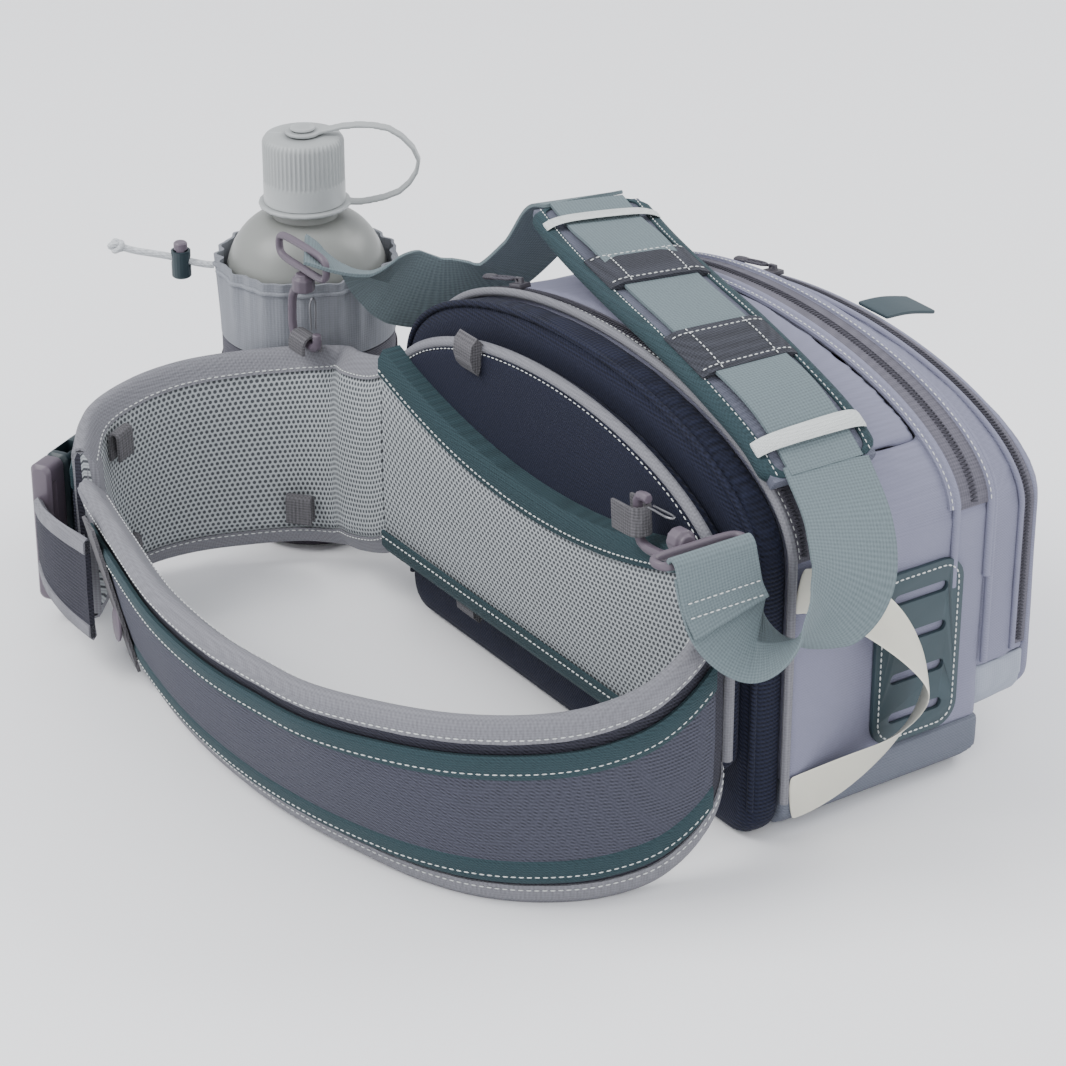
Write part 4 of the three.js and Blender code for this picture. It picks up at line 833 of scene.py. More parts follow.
outer_twill = cloth("dark outer twill", (0.030, 0.030, 0.042), pitch=2.1, slant=1.0, contrast=0.7, bump=0.9)
band_twill = cloth("belt band twill", (0.052, 0.054, 0.074), pitch=2.1, slant=1.0, contrast=0.7, bump=0.9)
teal_tape = cloth("teal edging", (0.024, 0.046, 0.054), pitch=1.5, slant=1.0, contrast=0.4, bump=0.6)
EDGE_TAPE = 11
band_first = {"near": 12, "far": 48}
for side in ("near", "far"):
    wing, band = f"{side}_wing", f"{side}_band"
    lining = wing_strip(f"{side}_wing_lining", side, 0, WING_STEPS, lambda i, tall: [
        (2, -2.5), (1.2, -4.4), (5, -6.6), (10, -10.0), (17, -11.8), (tall * 0.5, -12.5),
        (tall - 17, -11.8), (tall - 10, -10.0), (tall - 5, -6.6), (tall - 1.2, -4.4), (tall - 2, -2.5)])
    finish_mesh(lining, "pack", air_mesh, [wing])
    cover = wing_strip(f"{side}_wing_cover", side, 0, WING_STEPS, lambda i, tall: [
        (2, -3), (1, -1.5), (5, 0.3), (tall * 0.3, 0.9), (tall * 0.5, 0.5),
        (tall * 0.7, 0.9), (tall - 5, 0.3), (tall - 1, -1.5), (tall - 2, -3)])
    finish_mesh(cover, "pack", outer_twill)
    for edge_name, flip in (("top", True), ("bottom", False)):
        def bound(i, tall, flip=flip):
            ripple = 0.35 * math.sin(i * 0.9) + 0.25 * math.sin(i * 2.3)
            outline = [(EDGE_TAPE, 0.7), (EDGE_TAPE, 1.7 + 0.3 * ripple), (3, 1.9), (-0.9, -0.2), (-1.8, -3),
                       (-0.9, -5.6), (3, -7.7), (EDGE_TAPE - 1, -11.6 + 0.3 * ripple),
                       (EDGE_TAPE - 1, -10.5), (3, -6.5), (0.2, -4.8), (-0.6, -3), (0.2, -1.0), (3, 0.6)]
            return [(tall - u if flip else u, out) for u, out in outline]
        tape = wing_strip(f"{side}_wing_tape_{edge_name}", side, 0, WING_STEPS, bound)
        finish_mesh(tape, "pack", grey_tape)
        for face, offset in (("out", 1.95), ("in", -10.95)):
            row = []
            for i in range(2, WING_STEPS - 1):
                tall = (wing_edges[side][1][i] - wing_edges[side][0][i]).length
                share = (EDGE_TAPE - 2.6) * MM / tall
                row.append(on_wing(side, i, 1 - share if flip else share, offset * MM))
            sew("pack", f"{side}_wing_stitches_{edge_name}_{face}", row,
                                  lambda p: (p - belt_middle).normalized(), 3.8, 2.5, 0.33)
    end_tape = wing_strip(f"{side}_wing_end_tape", side, WING_STEPS - 6, WING_STEPS, lambda i, tall: [
        (1, -6.8), (1, 1.6), (tall * 0.5, 1.9), (tall - 1, 1.6), (tall - 1, -6.8), (tall - 12, -12.7),
        (tall * 0.5, -13.3), (12, -12.7)])
    finish_mesh(end_tape, "pack", grey_tape)
    first, last = band_first[side], WING_STEPS - 5
    main_band = wing_strip(f"{side}_band_face", side, first, last, lambda i, tall: [
        (tall * 0.20, 1.9), (tall * 0.20, 3.6), (tall * 0.30, 4.6), (tall * 0.49, 5.0),
        (tall * 0.68, 4.6), (tall * 0.78, 3.6), (tall * 0.78, 1.9)])
    finish_mesh(main_band, "pack", band_twill, [band])
    for edge_name, level in (("low", 0.20), ("high", 0.78)):
        trim = wing_strip(f"{side}_band_trim_{edge_name}", side, first, last, lambda i, tall, level=level: [
            (tall * level + up_mm, out) for up_mm, out in (
                (-7, 1.9), (-7.6, 3.4), (-5, 5.2), (5, 5.2), (7.6, 3.8), (7, 1.9))])
        finish_mesh(trim, "pack", teal_tape)
        row = []
        for i in range(first + 1, last):
            row.append(on_wing(side, i, level - 0.02, 5.35 * MM))
        sew("pack", f"{side}_band_stitches_{edge_name}", row,
                              lambda p: (p - belt_middle).normalized(), 3.8, 2.5, 0.32)

# The belt's centre lies on the lumbar pad. Its top edge dips, with teal tape and a stitch line.
belt_low, belt_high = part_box("belt_centre")
CENTRE_TOP = 138 * MM
CENTRE_DIP = belt_high.z - CENTRE_TOP


def centre_top(x):
    return CENTRE_TOP + CENTRE_DIP * (x / belt_high.x) ** 2


centre_rings = []
for i in range(81):
    x = belt_low.x + (belt_high.x - belt_low.x) * i / 80
    top, foot, face = centre_top(x), belt_low.z, belt_low.y
    puff = 1.4 * MM * (1 - (x / belt_high.x) ** 2)
    centre_rings.append([Vector((x, y, z)) for y, z in (
        (belt_high.y, foot), (face + 4 * MM, foot - 0.4 * MM), (face + 0.6 * MM, foot + 4 * MM),
        (face - puff * 0.7, foot + (top - foot) * 0.3), (face - puff, foot + (top - foot) * 0.5),
        (face - puff * 0.7, foot + (top - foot) * 0.75), (face + 0.6 * MM, top - 4 * MM),
        (face + 4 * MM, top + 0.4 * MM), (belt_high.y, top))])
centre = skin("belt_centre_lining", centre_rings)
finish_mesh(centre, "pack", air_mesh, ["belt_centre"])
for edge_name, level, way in (("top", centre_top, -1), ("bottom", lambda x: belt_low.z, 1)):
    tape_rings, row = [], []
    for i in range(81):
        x = belt_low.x + (belt_high.x - belt_low.x) * i / 80
        z, face = level(x), belt_low.y
        tape_rings.append([Vector((x, y, z + way * u * MM)) for y, u in (
            (face - 0.9 * MM, 12), (face - 1.9 * MM, 11.5), (face - 1.7 * MM, 3), (face + 1.5 * MM, -1.6),
            (belt_high.y, -1.8), (belt_high.y, 0), (face + 2 * MM, 0), (face - 0.6 * MM, 3))])
        row.append(Vector((x, face - 2.1 * MM, z + way * 8.6 * MM)))
    tape = skin(f"belt_centre_tape_{edge_name}", tape_rings)
    finish_mesh(tape, "pack", teal_tape)
    sew("pack", f"belt_centre_stitches_{edge_name}", row, lambda p: Vector((0, -1, 0)), 3.8, 2.6, 0.4)

# Folded webbing tabs: three on the wings' lining and two at the lumbar pad's edge.
ribbed = cloth("ribbed grey webbing", (0.105, 0.102, 0.110), pitch=1.6, contrast=0.5, bump=0.9)
for number in (1, 2, 3):
    cased(f"belt_loop_{number}", f"belt_tab_{number}", 0.5, 1, "pack", ribbed)
for tab_name, tab_z, way in (("top", 190, 1), ("bottom", 44, -1)):
    profile = [(0, 0), (3.2, 4), (5, 10), (4.2, 17), (0.5, 21), (-3.2, 17), (-2.4, 8), (-1, 3)]
    rings = [[Vector((-74 + 16 * k / 6, -99.5 - out, tab_z + way * (up_mm - 12))) * MM
              for out, up_mm in profile] for k in range(7)]
    tab_loop = skin(f"lumbar_tab_{tab_name}", rings)
    finish_mesh(tab_loop, "pack", ribbed)


# ---- Buckle ------------------------------------------------------------------------------
# A moulded side-release buckle on 60 mm webbing: a dark body sewn to the far wing, and a mauve
# plug with two flexing prongs on the near one. A spare end of webbing runs back to a keeper.
mauve = rubber_like("mauve grey plastic", (0.100, 0.080, 0.104), roughness=0.38, grain=520.0)
dark_plastic = rubber_like("dark teal plastic", (0.010, 0.022, 0.028), roughness=0.36, grain=520.0)
for node, piece_name, body, slot_name, material in (
        ("buckle_body", "buckle_socket", "pack", "dark_plastic", dark_plastic),
        ("buckle_plug", "buckle_plug_frame", "buckle_half", "hook_plastic", mauve),
        ("buckle_prong_upper", "buckle_prong_top", "upper_prong", "hook_plastic", mauve),
        ("buckle_prong_lower", "buckle_prong_bottom", "lower_prong", "hook_plastic", mauve)):
    cased(node, piece_name, 0.7, 0, body, material)
# Finger ridges on the body's outer face.
body_low, body_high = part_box("buckle_body")
buckle_centre = (body_low + body_high) / 2
outward = Vector((-0.866, -0.5, 0))
lengthwise = Vector((0.5, -0.866, 0))
for k in range(5):
    middle = buckle_centre + outward * 6.9 * MM + lengthwise * (k * 4 - 9) * MM
    ridge_line = [middle + Vector((0, 0, z * MM)) for z in (-15, -14, 14, 15)]
    ridge = tube_along(f"buckle_ridge_{k + 1}", ridge_line, 0.9 * MM)
    finish_mesh(ridge, "pack", dark_plastic)
cased("belt_web_body", "belt_webbing_far", 0.0, 2, "pack", outer_twill)
# The near webbing lies under a bound flap of the belt's own twill.
web_low, web_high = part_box("belt_web_plug")
flap_line = smooth_line([
    Vector((web_high.x, web_low.y + 2 * MM, 0)), Vector((web_high.x - 26 * MM, web_low.y + 1 * MM, 0)),
    Vector((web_high.x - 52 * MM, web_low.y + 3.5 * MM, 0)),
    Vector((web_low.x, web_high.y - 1.5 * MM, 0))], 31)


def flap_section(k, corners):
    ahead = (flap_line[min(k + 1, 30)] - flap_line[max(k - 1, 0)]).normalized()
    out = Vector((-ahead.y, ahead.x, 0))
    if out.y > 0:
        out = -out
    narrow = 1 - 0.26 * (k / 30) ** 1.5
    middle = (web_low.z + web_high.z) / 2
    return [flap_line[k] + out * deep * MM + Vector((0, 0, middle + (level - FLAP_TALL / 2) * narrow * MM))
            for deep, level in corners]


FLAP_TALL = (web_high.z - web_low.z) / MM
near_flap = skin("belt_webbing_near", [flap_section(k, [
    (-1.5, 1), (1.5, 1), (1.9, FLAP_TALL * 0.5), (1.5, FLAP_TALL - 1),
    (-1.5, FLAP_TALL - 1)]) for k in range(31)])
finish_mesh(near_flap, "buckle_half", outer_twill, ["belt_web_plug"])
for edge_name, base, way in (("bottom", 0, 1), ("top", FLAP_TALL, -1)):
    flap_tape = skin(f"flap_tape_{edge_name}", [flap_section(k, [
        (1.8, base + way * 9), (2.6, base + way * 8.5), (2.5, base + way * 2), (0, base - way * 0.5),
        (-2.3, base + way * 2), (-1.6, base + way * 8.5)]) for k in range(31)])
    finish_mesh(flap_tape, "buckle_half", grey_tape)

# ---- Carry strap -------------------------------------------------------------------------
# Woven webbing runs from ring to ring. A padded sleeve bound in teal lies under it, and the
# webbing passes below two sewn patches and two white elastic keepers.
SLEEVE_STOPS = [(*stop, 0.12, 1, 0) for stop in (
    (-108, 2, 227), (-60, -12, 225.5), (0, -25, 223), (44, -32, 220),
    (90, -36, 211), (124, -36, 198), (143, -37, 186))]
FAR_STOPS = [
    (-217, -107, 196, -0.9, 0.45, 0), (-210, -96, 189, -0.5, 0.7, -0.5), (-202, -68, 174, 0, 0.25, -1),
    (-194, -38, 162, -0.1, 0.4, -1), (-179, -12, 168, -0.3, 0.8, -0.6), (-158, 3, 193, -0.1, 1, -0.3),
    (-131, 5, 226, 0.1, 1, -0.1), (-110, 2.5, 235.5, 0.12, 1, 0),
]
NEAR_STOPS = [
    (145.8, -37, 194, 0.12, 1, 0), (172, -43, 174, 0.1, 1, 0), (189, -54, 155, 0.1, 1, 0),
    (193, -69, 141, 0, 1, 0), (188, -86, 132, 0, 1, 0), (180, -101, 132, 0, 1, 0),
    (171.8, -111, 142, 0, 1, 0), (166.3, -114, 156, 0, 1, 0), (162.8, -115, 170, 0, 1, 0),
]


def flat_band(name, stops, width, low, high, steps, edge_drop=0.0, billow=0.0):
    """Webbing or a pad swept along the stops. A stop is a place and the direction of its width."""
    line = smooth_line([Vector(s[:3]) * MM for s in stops], 241)
    rings = []
    for i in range(steps + 1):
        k = int(round(240 * (i / steps)))
        tangent = (line[min(k + 1, 240)] - line[max(k - 1, 0)]).normalized()
        share = k / 240 * (len(stops) - 1)
        a = min(int(share), len(stops) - 2)
        across = Vector(stops[a][3:]).lerp(Vector(stops[a + 1][3:]), share - a)
        across = (across - tangent * across.dot(tangent)).normalized()
        normal = tangent.cross(across).normalized()
        half = width / 2 * MM
        loose = billow * max(0, math.sin(math.pi * (k / 240 - 0.10) / 0.29)) ** 2 if k < 228 else 0
        mid = (low + high) / 2
        ring_ = []
        for side, out in ((-1, mid), (-0.985, low), (0, low), (0.985, low), (1, mid), (0.985, high),
                          (0.45, high + edge_drop), (-0.45, high + edge_drop), (-0.985, high)):
            ring_.append(line[k] + across * side * half + normal * (out + loose) * MM)
        rings.append(ring_)
    return skin(name, rings)


def on_sleeve(share, side, out):
    """A point on the sleeve: share of its length, millimetres across and millimetres above it."""
    line = smooth_line([Vector(s[:3]) * MM for s in SLEEVE_STOPS], 241)
    k = min(max(int(round(240 * share)), 1), 239)
    tangent = (line[k + 1] - line[k - 1]).normalized()
    across = Vector((0.12, 1, 0))
    across = (across - tangent * across.dot(tangent)).normalized()
    normal = tangent.cross(across).normalized()
    return line[k] + across * side * MM + normal * out * MM


webbing = cloth("blue grey webbing", (0.135, 0.172, 0.185), pitch=1.7, contrast=0.35, bump=0.6, source="UV")
sleeve_cloth = cloth("sleeve twill", (0.115, 0.122, 0.160), pitch=1.6, slant=1.0, contrast=0.25, bump=0.5)
patch_cloth = cloth("sleeve patch twill", (0.036, 0.038, 0.048), pitch=1.7, slant=1.0, contrast=0.6, bump=0.8)
elastic = cloth("white elastic", (0.58, 0.61, 0.60), pitch=1.0, contrast=0.2, bump=0.6)
pad = flat_band("sleeve_cushion", SLEEVE_STOPS, 59, 0.4, 6.4, 80, edge_drop=0.4)
finish_mesh(pad, "strap", sleeve_cloth, ["sleeve_pad"])
for sign, edge_name in ((1, "front"), (-1, "rear")):
    rings = []
    for i in range(121):
        share = 0.004 + 0.992 * i / 120
        pull_in = 9 * max(0, 1 - min(share, 1 - share) / 0.035) ** 2
        rings.append([on_sleeve(share, sign * (side - pull_in), out) for side, out in (
            (25.2, 6.8), (25.4, 7.6), (29.2, 7.6), (31.8, 6.2), (32.6, 3.4), (31.8, 0.6),
            (28.6, -0.6), (26, 0.2), (29, 0.8), (30.8, 3.4), (29, 6.4))])
    binding = skin(f"sleeve_binding_{edge_name}", rings)
    finish_mesh(binding, "strap", teal_tape)
    row = [on_sleeve(0.01 + 0.98 * i / 90, sign * 26.4, 7.75) for i in range(91)]
    sew("strap", f"sleeve_stitches_{edge_name}", row, lambda p: Vector((0, 0, 1)), 3.4, 2.2, 0.28)
for share, end_name in ((0.008, "far"), (0.992, "near")):
    along = on_sleeve(0.5, 0, 0) - on_sleeve(0.501, 0, 0)
    end_rings = [[on_sleeve(share, -23 + 46 * k / 12, out) + along * move
                  for out, move in ((0, 6), (0, -6), (7.4, -6), (7.9, 0), (7.4, 6))] for k in range(13)]
    end_binding = skin(f"sleeve_end_binding_{end_name}", end_rings)
    finish_mesh(end_binding, "strap", teal_tape)

strap_far = flat_band("strap_webbing_far", FAR_STOPS, 46, -1, 1, 110)
finish_mesh(strap_far, "strap", webbing, ["strap_web"])
strap_near = flat_band("strap_webbing_near", NEAR_STOPS, 46, -1, 1, 120)
finish_mesh(strap_near, "strap", webbing)
strap_middle = flat_band("strap_webbing_middle", SLEEVE_STOPS, 41, 7.5, 9.5, 160, billow=2.6)
finish_mesh(strap_middle, "strap", webbing)
# The near end folds over its ring and is sewn back on itself.
FOLD_STOPS = [(*stop, 0, 1, 0) for stop in (
    (157.2, -115, 170), (157.6, -115, 175.6), (160, -115, 177.4), (163.2, -115, 175.4), (165.6, -115, 169),
    (169.2, -114, 155), (173.6, -112, 145.5))]
fold = flat_band("strap_webbing_fold", FOLD_STOPS, 46, -1, 1, 60)
finish_mesh(fold, "strap", webbing)
for row_name, at in (("upper", (169.9, 158.0)), ("lower", (172.4, 151.5))):
    fold_row = [Vector((at[0], -92.5 - 43 * k / 30, at[1])) * MM for k in range(31)]
    sew("strap", f"strap_fold_stitches_{row_name}", fold_row, lambda p: Vector((1, 0, 0)), 3.4, 2.3, 0.35)

for share, cover_name in ((0.34, "far"), (0.68, "near")):
    rings = []
    for i in range(15):
        at = share - 0.066 + 0.132 * i / 14
        crown = 0.7 * math.sin(math.pi * i / 14)
        rings.append([on_sleeve(at, side, out) for side, out in (
            (-27.5, 7.4), (27.5, 7.4), (27.5, 8.6), (21, 10.9), (12, 11.1 + crown),
            (-12, 11.1 + crown), (-21, 10.9), (-27.5, 8.6))])
    cover = skin(f"sleeve_patch_cloth_{cover_name}", rings)
    finish_mesh(cover, "strap", patch_cloth, [f"sleeve_patch_{cover_name}"])
    sewn = [((share - 0.066, side), (share + 0.066, side)) for side in (-16, 16)]
    sewn += [((share + way * 0.052, -26), (share + way * 0.052, 26)) for way in (-1, 1)]
    for number, ((s0, a0), (s1, a1)) in enumerate(sewn):
        row = []
        for k in range(17):
            at, side = s0 + (s1 - s0) * k / 16, a0 + (a1 - a0) * k / 16
            crown = 0.7 * max(0, math.sin(math.pi * (at - share + 0.066) / 0.132))
            row.append(on_sleeve(at, side, 11.3 + crown - max(0, abs(side) - 21) * 0.36))
        sew("strap", f"sleeve_patch_stitches_{cover_name}_{number + 1}", row,
                              lambda p: Vector((0, 0, 1)), 3.1, 2.1, 0.33)
for share, keeper_name in ((0.1, "far"), (0.93, "near")):
    rings = []
    for k in range(25):
        side = -31 + 62 * k / 24
        lift = 10.2 + 0.8 * math.cos(math.pi * side / 62) - 3.2 * (abs(side) / 31) ** 6
        rings.append([on_sleeve(share + s, side, lift + out) for s, out in (
            (-0.0135, 0), (-0.0155, 0.8), (-0.010, 1.5), (0.010, 1.5), (0.0155, 0.8), (0.0135, 0))])
    keeper = skin(f"elastic_keeper_{keeper_name}", rings)
    finish_mesh(keeper, "strap", elastic, [f"keeper_{keeper_name}"])


# ---- Swivel hooks and rings --------------------------------------------------------------
# Moulded snap hooks with wire gates. Each hook's shank turns in a flat ring that holds the
# strap; the jaw holds a webbing loop sewn to the belt.
wire_metal, wire_tree, wire_shader = blank_material("spring wire")
wire_grain = noisy(wire_tree, coordinates(wire_tree, "Object"), 700.0, 2.0)
wire_rough = ranged(wire_tree, wire_grain.outputs["Fac"], 0.22, 0.42)
wire_tree.links.new(wire_rough.outputs[0], wire_shader.inputs["Roughness"])
wire_shader.inputs["Base Color"].default_value = (0.20, 0.20, 0.215, 1)
wire_shader.inputs["Metallic"].default_value = 0.9

for node, body in (("hook_far", "far_hook"), ("hook_near", "pack")):
    hook = softened(node, f"{node}_moulding", 0.55, 3)
    push(hook, lambda place, normal: 0.15 * MM)
    finish_mesh(hook, body, mauve, [node])
for node in ("ring_far", "ring_near"):
    cased(node, f"{node}_moulding", 0.0, 2, "strap", mauve)
for node in ("hook_loop_far", "hook_loop_near"):
    cased(node, f"{node}_webbing", 0.4, 1, "pack", ribbed)
for node, body in (("gate_far", "far_gate"), ("gate_near", "near_gate")):
    gate_low, gate_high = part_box(node)
    low_end, high_end = gate_low.copy(), gate_high.copy()
    span = gate_high - gate_low
    if span.z > span.x:
        middle = (gate_low + gate_high) / 2
        low_end = Vector((middle.x, middle.y, gate_low.z + 0.8 * MM))
        high_end = Vector((middle.x, middle.y, gate_high.z - 0.8 * MM))
    else:
        mid_y = (gate_low.y + gate_high.y) / 2
        low_end = Vector((gate_low.x + 0.9 * MM, mid_y + 0.2 * MM, gate_low.z + 1.2 * MM))
        high_end = Vector((gate_high.x - 0.9 * MM, mid_y - 0.2 * MM, gate_high.z - 1.2 * MM))
    apart = Vector((0, 1, 0)) * 1.5 * MM
    lower, upper = low_end.lerp(high_end, 0.25), low_end.lerp(high_end, 0.85)
    wire_line = smooth_line([low_end - apart, lower - apart, upper - apart, high_end,
                             upper + apart, lower + apart, low_end + apart], 40)
    gate = tube_along(f"{node}_wire", wire_line, 0.6 * MM)
    finish_mesh(gate, body, wire_metal, [node])


# ---- Bottle, cap and tether --------------------------------------------------------------
# A blow-moulded milky bottle with a ribbed white screw cap. A bowed tether joins a ring on the
# neck to the button on the cap.
def around(centre, radius, turn, level):
    """A point about an upright axis; radius and level are in millimetres."""
    return Vector((centre.x + radius * math.cos(turn) * MM,
                   centre.y + radius * math.sin(turn) * MM, level * MM))


def turned_piece(name, profile, centre, segments, wave=None):
    """A solid of revolution; profile points are (radius, height) in millimetres."""
    rings = []
    for radius, level in profile:
        ring_ = []
        for k in range(segments):
            turn = 2 * math.pi * k / segments
            size = max(radius, 0.02) + (wave(turn, level, radius) if wave and radius > 1 else 0)
            ring_.append(around(centre, size, turn, level))
        rings.append(ring_)
    piece = skin(name, rings)
    bpy.ops.object.mode_set(mode="EDIT")
    bpy.ops.mesh.select_all(action="SELECT")
    bpy.ops.mesh.remove_doubles(threshold=0.00002)
    bpy.ops.object.mode_set(mode="OBJECT")
    return piece


bottle_low, bottle_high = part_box("bottle")
bottle_centre = (bottle_low + bottle_high) / 2
milky, milky_tree, milky_shader = blank_material("milky bottle plastic")
milky_noise = noisy(milky_tree, coordinates(milky_tree, "Object"), 26.0, 4.0)
milky_tone = ranged(milky_tree, milky_noise.outputs["Fac"], 0.16, 0.30)
milky_shade = scaled(milky_tree, (0.80, 0.82, 0.79), milky_tone.outputs[0])
milky_lift = put(milky_tree, "ShaderNodeVectorMath", {
    0: milky_shade.outputs[0], 1: (0.13, 0.135, 0.125)}, operation="ADD")
milky_bump = bumped(milky_tree, milky_noise.outputs["Fac"], 0.25, 0.6 * MM)
milky_rough = ranged(milky_tree, milky_noise.outputs["Fac"], 0.25, 0.45)
milky_tree.links.new(milky_lift.outputs[0], milky_shader.inputs["Base Color"])
milky_tree.links.new(milky_rough.outputs[0], milky_shader.inputs["Roughness"])
milky_tree.links.new(milky_bump.outputs["Normal"], milky_shader.inputs["Normal"])
milky_shader.inputs["Transmission Weight"].default_value = 0.35
milky_shader.inputs["IOR"].default_value = 1.45

FLOOR, RADIUS, SHOULDER, NECK, RIM, WALL = 4.2, 46, 150, 18.4, 208, 2.2
shoulder = [(RADIUS, SHOULDER)]
for k in range(1, 15):
    turn = math.pi / 2 * k / 14
    shoulder.append((RADIUS - (RADIUS - NECK - 0.4) * (1 - math.cos(turn)) ** 0.9,
                     SHOULDER + 38 * math.sin(turn) ** 0.95))
outside = [(0, FLOOR + 1), (24, FLOOR), (RADIUS - 9, FLOOR), (RADIUS - 3, FLOOR + 2),
           (RADIUS - 0.6, FLOOR + 7), (RADIUS, FLOOR + 14),
           (RADIUS, 60), (RADIUS - 0.8, 62), (RADIUS - 0.8, 66), (RADIUS, 68), (RADIUS, 120), *shoulder,
           (NECK, 190), (NECK, 191.5), (NECK + 2.6, 192), (NECK + 2.6, 193.4), (NECK, 194),
           (NECK, RIM - 0.8), (NECK - 0.8, RIM)]
inside = [(max(r - WALL, 0), z + (WALL if z < 30 else 0)) for r, z in reversed(outside)
          if z < RIM - 0.2 and not 191 < z < 194]
bottle = turned_piece("milky_bottle", outside + inside, bottle_centre, 96)
finish_mesh(bottle, "bottle", milky, ["bottle"])

white_plastic = rubber_like("white cap plastic", (0.33, 0.345, 0.345), roughness=0.3, grain=380.0, bump=0.1)
cap_low, cap_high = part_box("bottle_cap")
CAP_BASE, CAP_TOP = cap_low.z / MM, cap_high.z / MM - 5


def cap_ribs(turn, level, radius):
    ribbed_part = radius > 22 and CAP_BASE + 13 < level < CAP_TOP - 2
    return -0.8 * (0.5 + 0.5 * math.cos(54 * turn)) if ribbed_part else 0


cap = turned_piece("ribbed_cap", [
    (0, CAP_TOP - 2.4), (20.4, CAP_TOP - 2.4), (20.6, CAP_BASE), (22.9, CAP_BASE), (23, CAP_BASE + 11),
    (22.8, CAP_BASE + 12), (22.9, CAP_BASE + 13.5), (22.9, CAP_BASE + 20), (22.9, CAP_TOP - 4),
    (22.6, CAP_TOP - 2.6), (21.2, CAP_TOP - 0.6), (19.6, CAP_TOP), (9, CAP_TOP), (8.2, CAP_TOP - 0.5),
    (5.2, CAP_TOP - 0.5), (5, CAP_TOP + 3.2), (6.9, CAP_TOP + 3.6), (6.6, CAP_TOP + 4.6),
    (4, CAP_TOP + 5), (0, CAP_TOP + 5)], bottle_centre, 324, cap_ribs)
finish_mesh(cap, "cap", white_plastic, ["bottle_cap"])
tether = softened("cap_tether", "bowed_tether", 0.8, 4)
finish_mesh(tether, "bottle", white_plastic, ["cap_tether"])


# ---- Bottle holder -----------------------------------------------------------------------
# A cloth pouch with a dark rounded foot and a slanting webbing band, and a lighter collar that
# the drawcord gathers into folds.
holder_low, holder_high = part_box("bottle_holder")
holder_centre = (holder_low + holder_high) / 2
collar_low, collar_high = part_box("holder_collar")
HOLDER_R = (holder_high.x - holder_low.x) / 2 / MM
INNER_R = HOLDER_R - 2.6
collar_base, collar_top = collar_low.z / MM, collar_high.z / MM


def pouch_folds(turn, level, radius):
    if radius < INNER_R - 4:
        return 0
    return -0.5 + 0.8 * noise.noise(Vector((math.cos(turn) * 2.2, math.sin(turn) * 2.2, level * 0.03)))


def gathers(turn, level, radius):
    rise = (level - collar_base) / (collar_top - collar_base)
    ripple = 1.3 * math.sin(17 * turn + 2 * math.sin(3 * turn)) + 0.7 * math.sin(29 * turn)
    return ripple * rise ** 1.3 - 0.4 * rise


pouch_cloth = cloth("pouch cloth", (0.072, 0.070, 0.086), pitch=1.6, slant=1.0, contrast=0.35, bump=0.5)
foot_cloth = cloth("pouch foot cloth", (0.032, 0.026, 0.036), pitch=1.8, slant=1.0, contrast=0.4, bump=0.6)
collar_cloth = cloth("collar cloth", (0.215, 0.225, 0.250), pitch=1.4, contrast=0.15, bump=0.25)
levels = [46 + (collar_base - 47) * k / 9 for k in range(10)]
pouch = turned_piece("pouch_wall", [(HOLDER_R - 2.4, 34), *[(HOLDER_R, z) for z in levels],
                                    *[(INNER_R, z) for z in reversed(levels)], (INNER_R, 34)],
                     holder_centre, 128, pouch_folds)
finish_mesh(pouch, "pack", pouch_cloth, ["bottle_holder"])
foot = turned_piece("pouch_foot", [
    (0, 0), (HOLDER_R - 14, 0), (HOLDER_R - 8, 0.8), (HOLDER_R - 3.4, 4), (HOLDER_R - 1.0, 9.5),
    (HOLDER_R - 0.2, 18), (HOLDER_R + 0.2, 36), (HOLDER_R - 0.2, 38), (INNER_R + 0.2, 38),
    (INNER_R, 12), (INNER_R - 8, 3.6), (0, 3.6)],
    holder_centre, 128, pouch_folds)
finish_mesh(foot, "pack", foot_cloth)
steps_up = [collar_base + (collar_top - collar_base) * k / 10 for k in range(11)]
collar = turned_piece("gathered_collar", [
    *[(HOLDER_R - 0.3 + 0.1 * k, z) for k, z in enumerate(steps_up)],
    *[(INNER_R + 0.6 + 0.1 * k, z) for k, z in reversed(list(enumerate(steps_up)))]],
    holder_centre, 256, gathers)
finish_mesh(collar, "pack", collar_cloth, ["holder_collar"])
tunnel_line = []
for k in range(161):
    turn = 2 * math.pi * k / 160
    size = HOLDER_R + 0.4 + gathers(turn, collar_top - 6, HOLDER_R)
    tunnel_line.append(around(holder_centre, size, turn, collar_top - 6))
tunnel = tube_along("collar_cord_tunnel", tunnel_line[:-1], 1.5 * MM, closed=True)
finish_mesh(tunnel, "pack", collar_cloth)
pale_band = cloth("pale pouch band", (0.175, 0.160, 0.160), pitch=1.6, contrast=0.3, bump=0.6)
for band_name, level, tall, out, material in (
        ("light", 96, 12, 0.7, pale_band), ("upper", 103.5, 2.5, 1.1, foot_cloth),
        ("lower", 88.5, 2.5, 1.1, foot_cloth)):
    rings = []
    for k in range(121):
        turn = 2 * math.pi * k / 120
        z = level + 7 * math.sin(turn - 0.5)
        size = HOLDER_R + pouch_folds(turn, z, HOLDER_R)
        rings.append([around(holder_centre, size + o, turn, z + u * tall)
                      for o, u in ((0.1, -0.5), (out, -0.5), (out, 0.5), (0.1, 0.5))])
    wrap = skin(f"pouch_band_{band_name}", rings)
    finish_mesh(wrap, "pack", material)

# The lock's own two parts keep their moulded shapes.
for node, material in (("cord_lock_body", dark_plastic), ("cord_lock_button", mauve)):
    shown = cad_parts[node]
    shown.data.materials.clear()
    shown.data.materials.append(material)


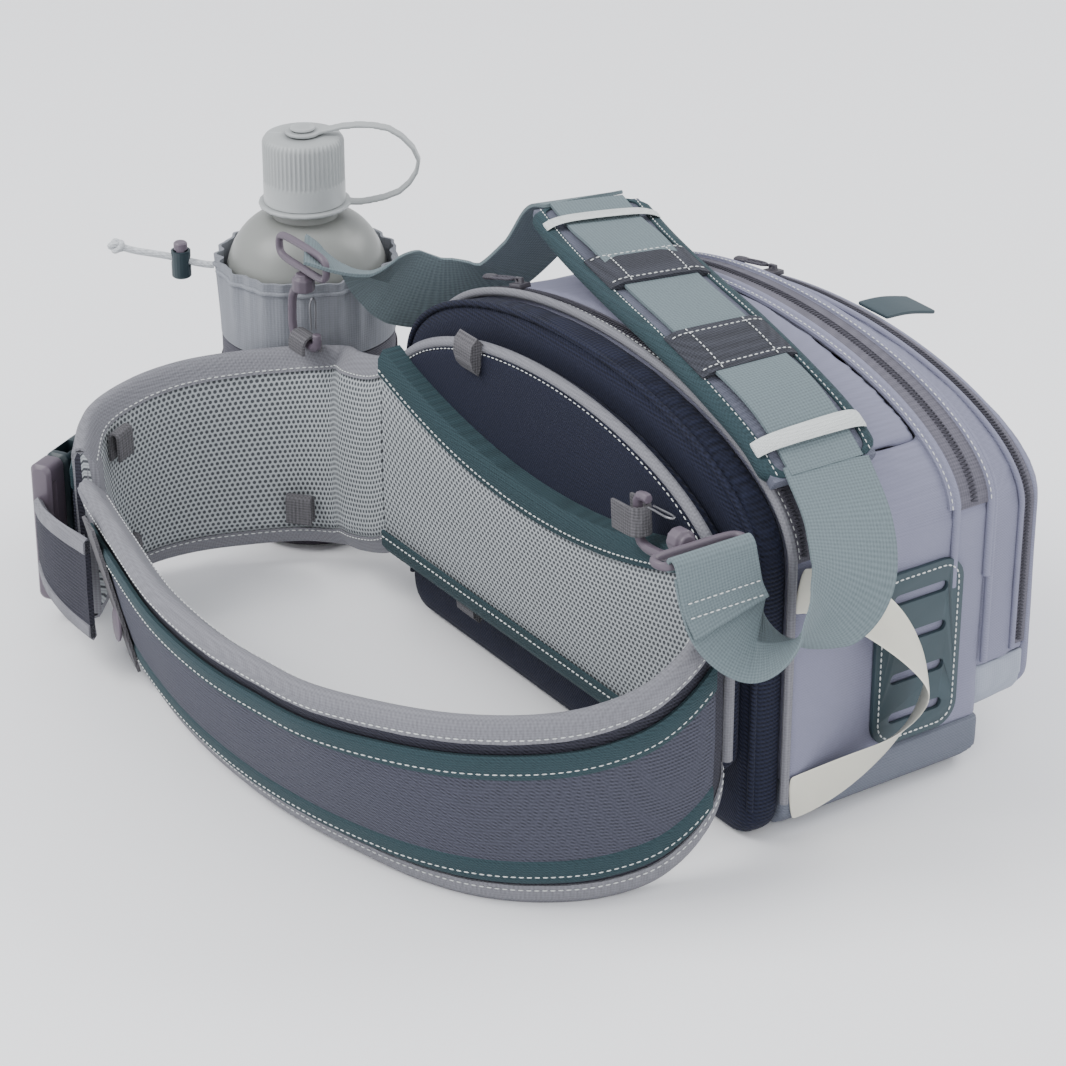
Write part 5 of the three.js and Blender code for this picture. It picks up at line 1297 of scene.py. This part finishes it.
# ---- Zip sliders and pulls ---------------------------------------------------------------
# Painted metal sliders, each with a loop of cord whose ends are held in a moulded grip.
painted = rubber_like("painted slider", (0.046, 0.042, 0.052), roughness=0.32, grain=600.0)
pull_cord = cloth("pull cord", (0.080, 0.076, 0.092), pitch=1.2, slant=1.0, contrast=0.5, bump=0.8)
for label in ("rear", "main", "pocket"):
    cased(f"{label}_zip_slider", f"{label}_slider_body", 0.4, 0, f"{label}_slider", painted)
    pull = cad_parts[f"{label}_zip_pull"]
    points = sorted((v.co.copy() for v in pull.data.vertices), key=lambda p: p.x)
    share = max(4, len(points) // 6)
    root = sum(points[-share:], Vector()) / share
    tip = sum(points[:share], Vector()) / share
    loop_line = smooth_line([
        root, root.lerp(tip, 0.15) + Vector((0, 1.6, 0)) * MM, root.lerp(tip, 0.7) + Vector((0, 1.2, 0)) * MM,
        root.lerp(tip, 0.74), root.lerp(tip, 0.7) - Vector((0, 1.2, 0)) * MM,
        root.lerp(tip, 0.15) - Vector((0, 1.6, 0)) * MM], 60)
    loop = tube_along(f"{label}_pull_cord", loop_line, 0.85 * MM, closed=True)
    finish_mesh(loop, f"{label}_pull", pull_cord, [f"{label}_zip_pull"])
    grip_rings = []
    ahead = (tip - root).normalized()
    side = Vector((0, 1, 0))
    over = ahead.cross(side).normalized()
    for k in range(13):
        place = root.lerp(tip, 0.62 + 0.38 * k / 12)
        size = (1.9 + 0.5 * math.sin(math.pi * k / 12) + 0.22 * math.cos(k * math.pi)) * MM
        size *= 0.5 if k in (0, 12) else 1
        grip_rings.append([place + side * size * 1.2 * math.cos(t) + over * size * 0.62 * math.sin(t)
                           for t in (2 * math.pi * n / 14 for n in range(14))])
    grip = skin(f"{label}_pull_grip", grip_rings)
    finish_mesh(grip, f"{label}_pull", painted)


# ---- Spare webbing and its keeper --------------------------------------------------------
# The belt's spare end hangs down the outside of the near wing, held by a pale oval keeper.
def wing_tail(name, centre_step, half_steps, shares, low, high, material):
    rings = []
    for n in range(25):
        share = shares[0] + (shares[1] - shares[0]) * n / 24
        edge_a, edge_b = centre_step - half_steps, centre_step + half_steps
        rings.append([on_wing("near", i, share, out * MM) for i, out in (
            (edge_a, low), (edge_b, low), (edge_b, high), (edge_a, high))])
    piece = skin(name, rings)
    return finish_mesh(piece, "pack", material)


wing_tail("spare_webbing_end", 138, 3, (0.97, 0.10), 5.6, 7.4, ribbed)
keeper_face = on_wing("near", 138, 0.36, 7.6 * MM)
keeper_out = (on_wing("near", 138, 0.36, 9 * MM) - keeper_face).normalized()
keeper_side = keeper_out.cross(Vector((0, 0, 1))).normalized()
oval_rings = []
for depth, grow in ((0, 0.9), (0.6, 1.0), (1.6, 1.0), (2.3, 0.86), (2.5, 0.5)):
    oval_rings.append([keeper_face + keeper_out * depth * MM
                       + (keeper_side * 7.5 * math.cos(t) + Vector((0, 0, 1)) * 10 * math.sin(t)) * grow * MM
                       for t in (2 * math.pi * n / 36 for n in range(36))])
oval = skin("oval_webbing_keeper", oval_rings)
finish_mesh(oval, "pack", mauve)
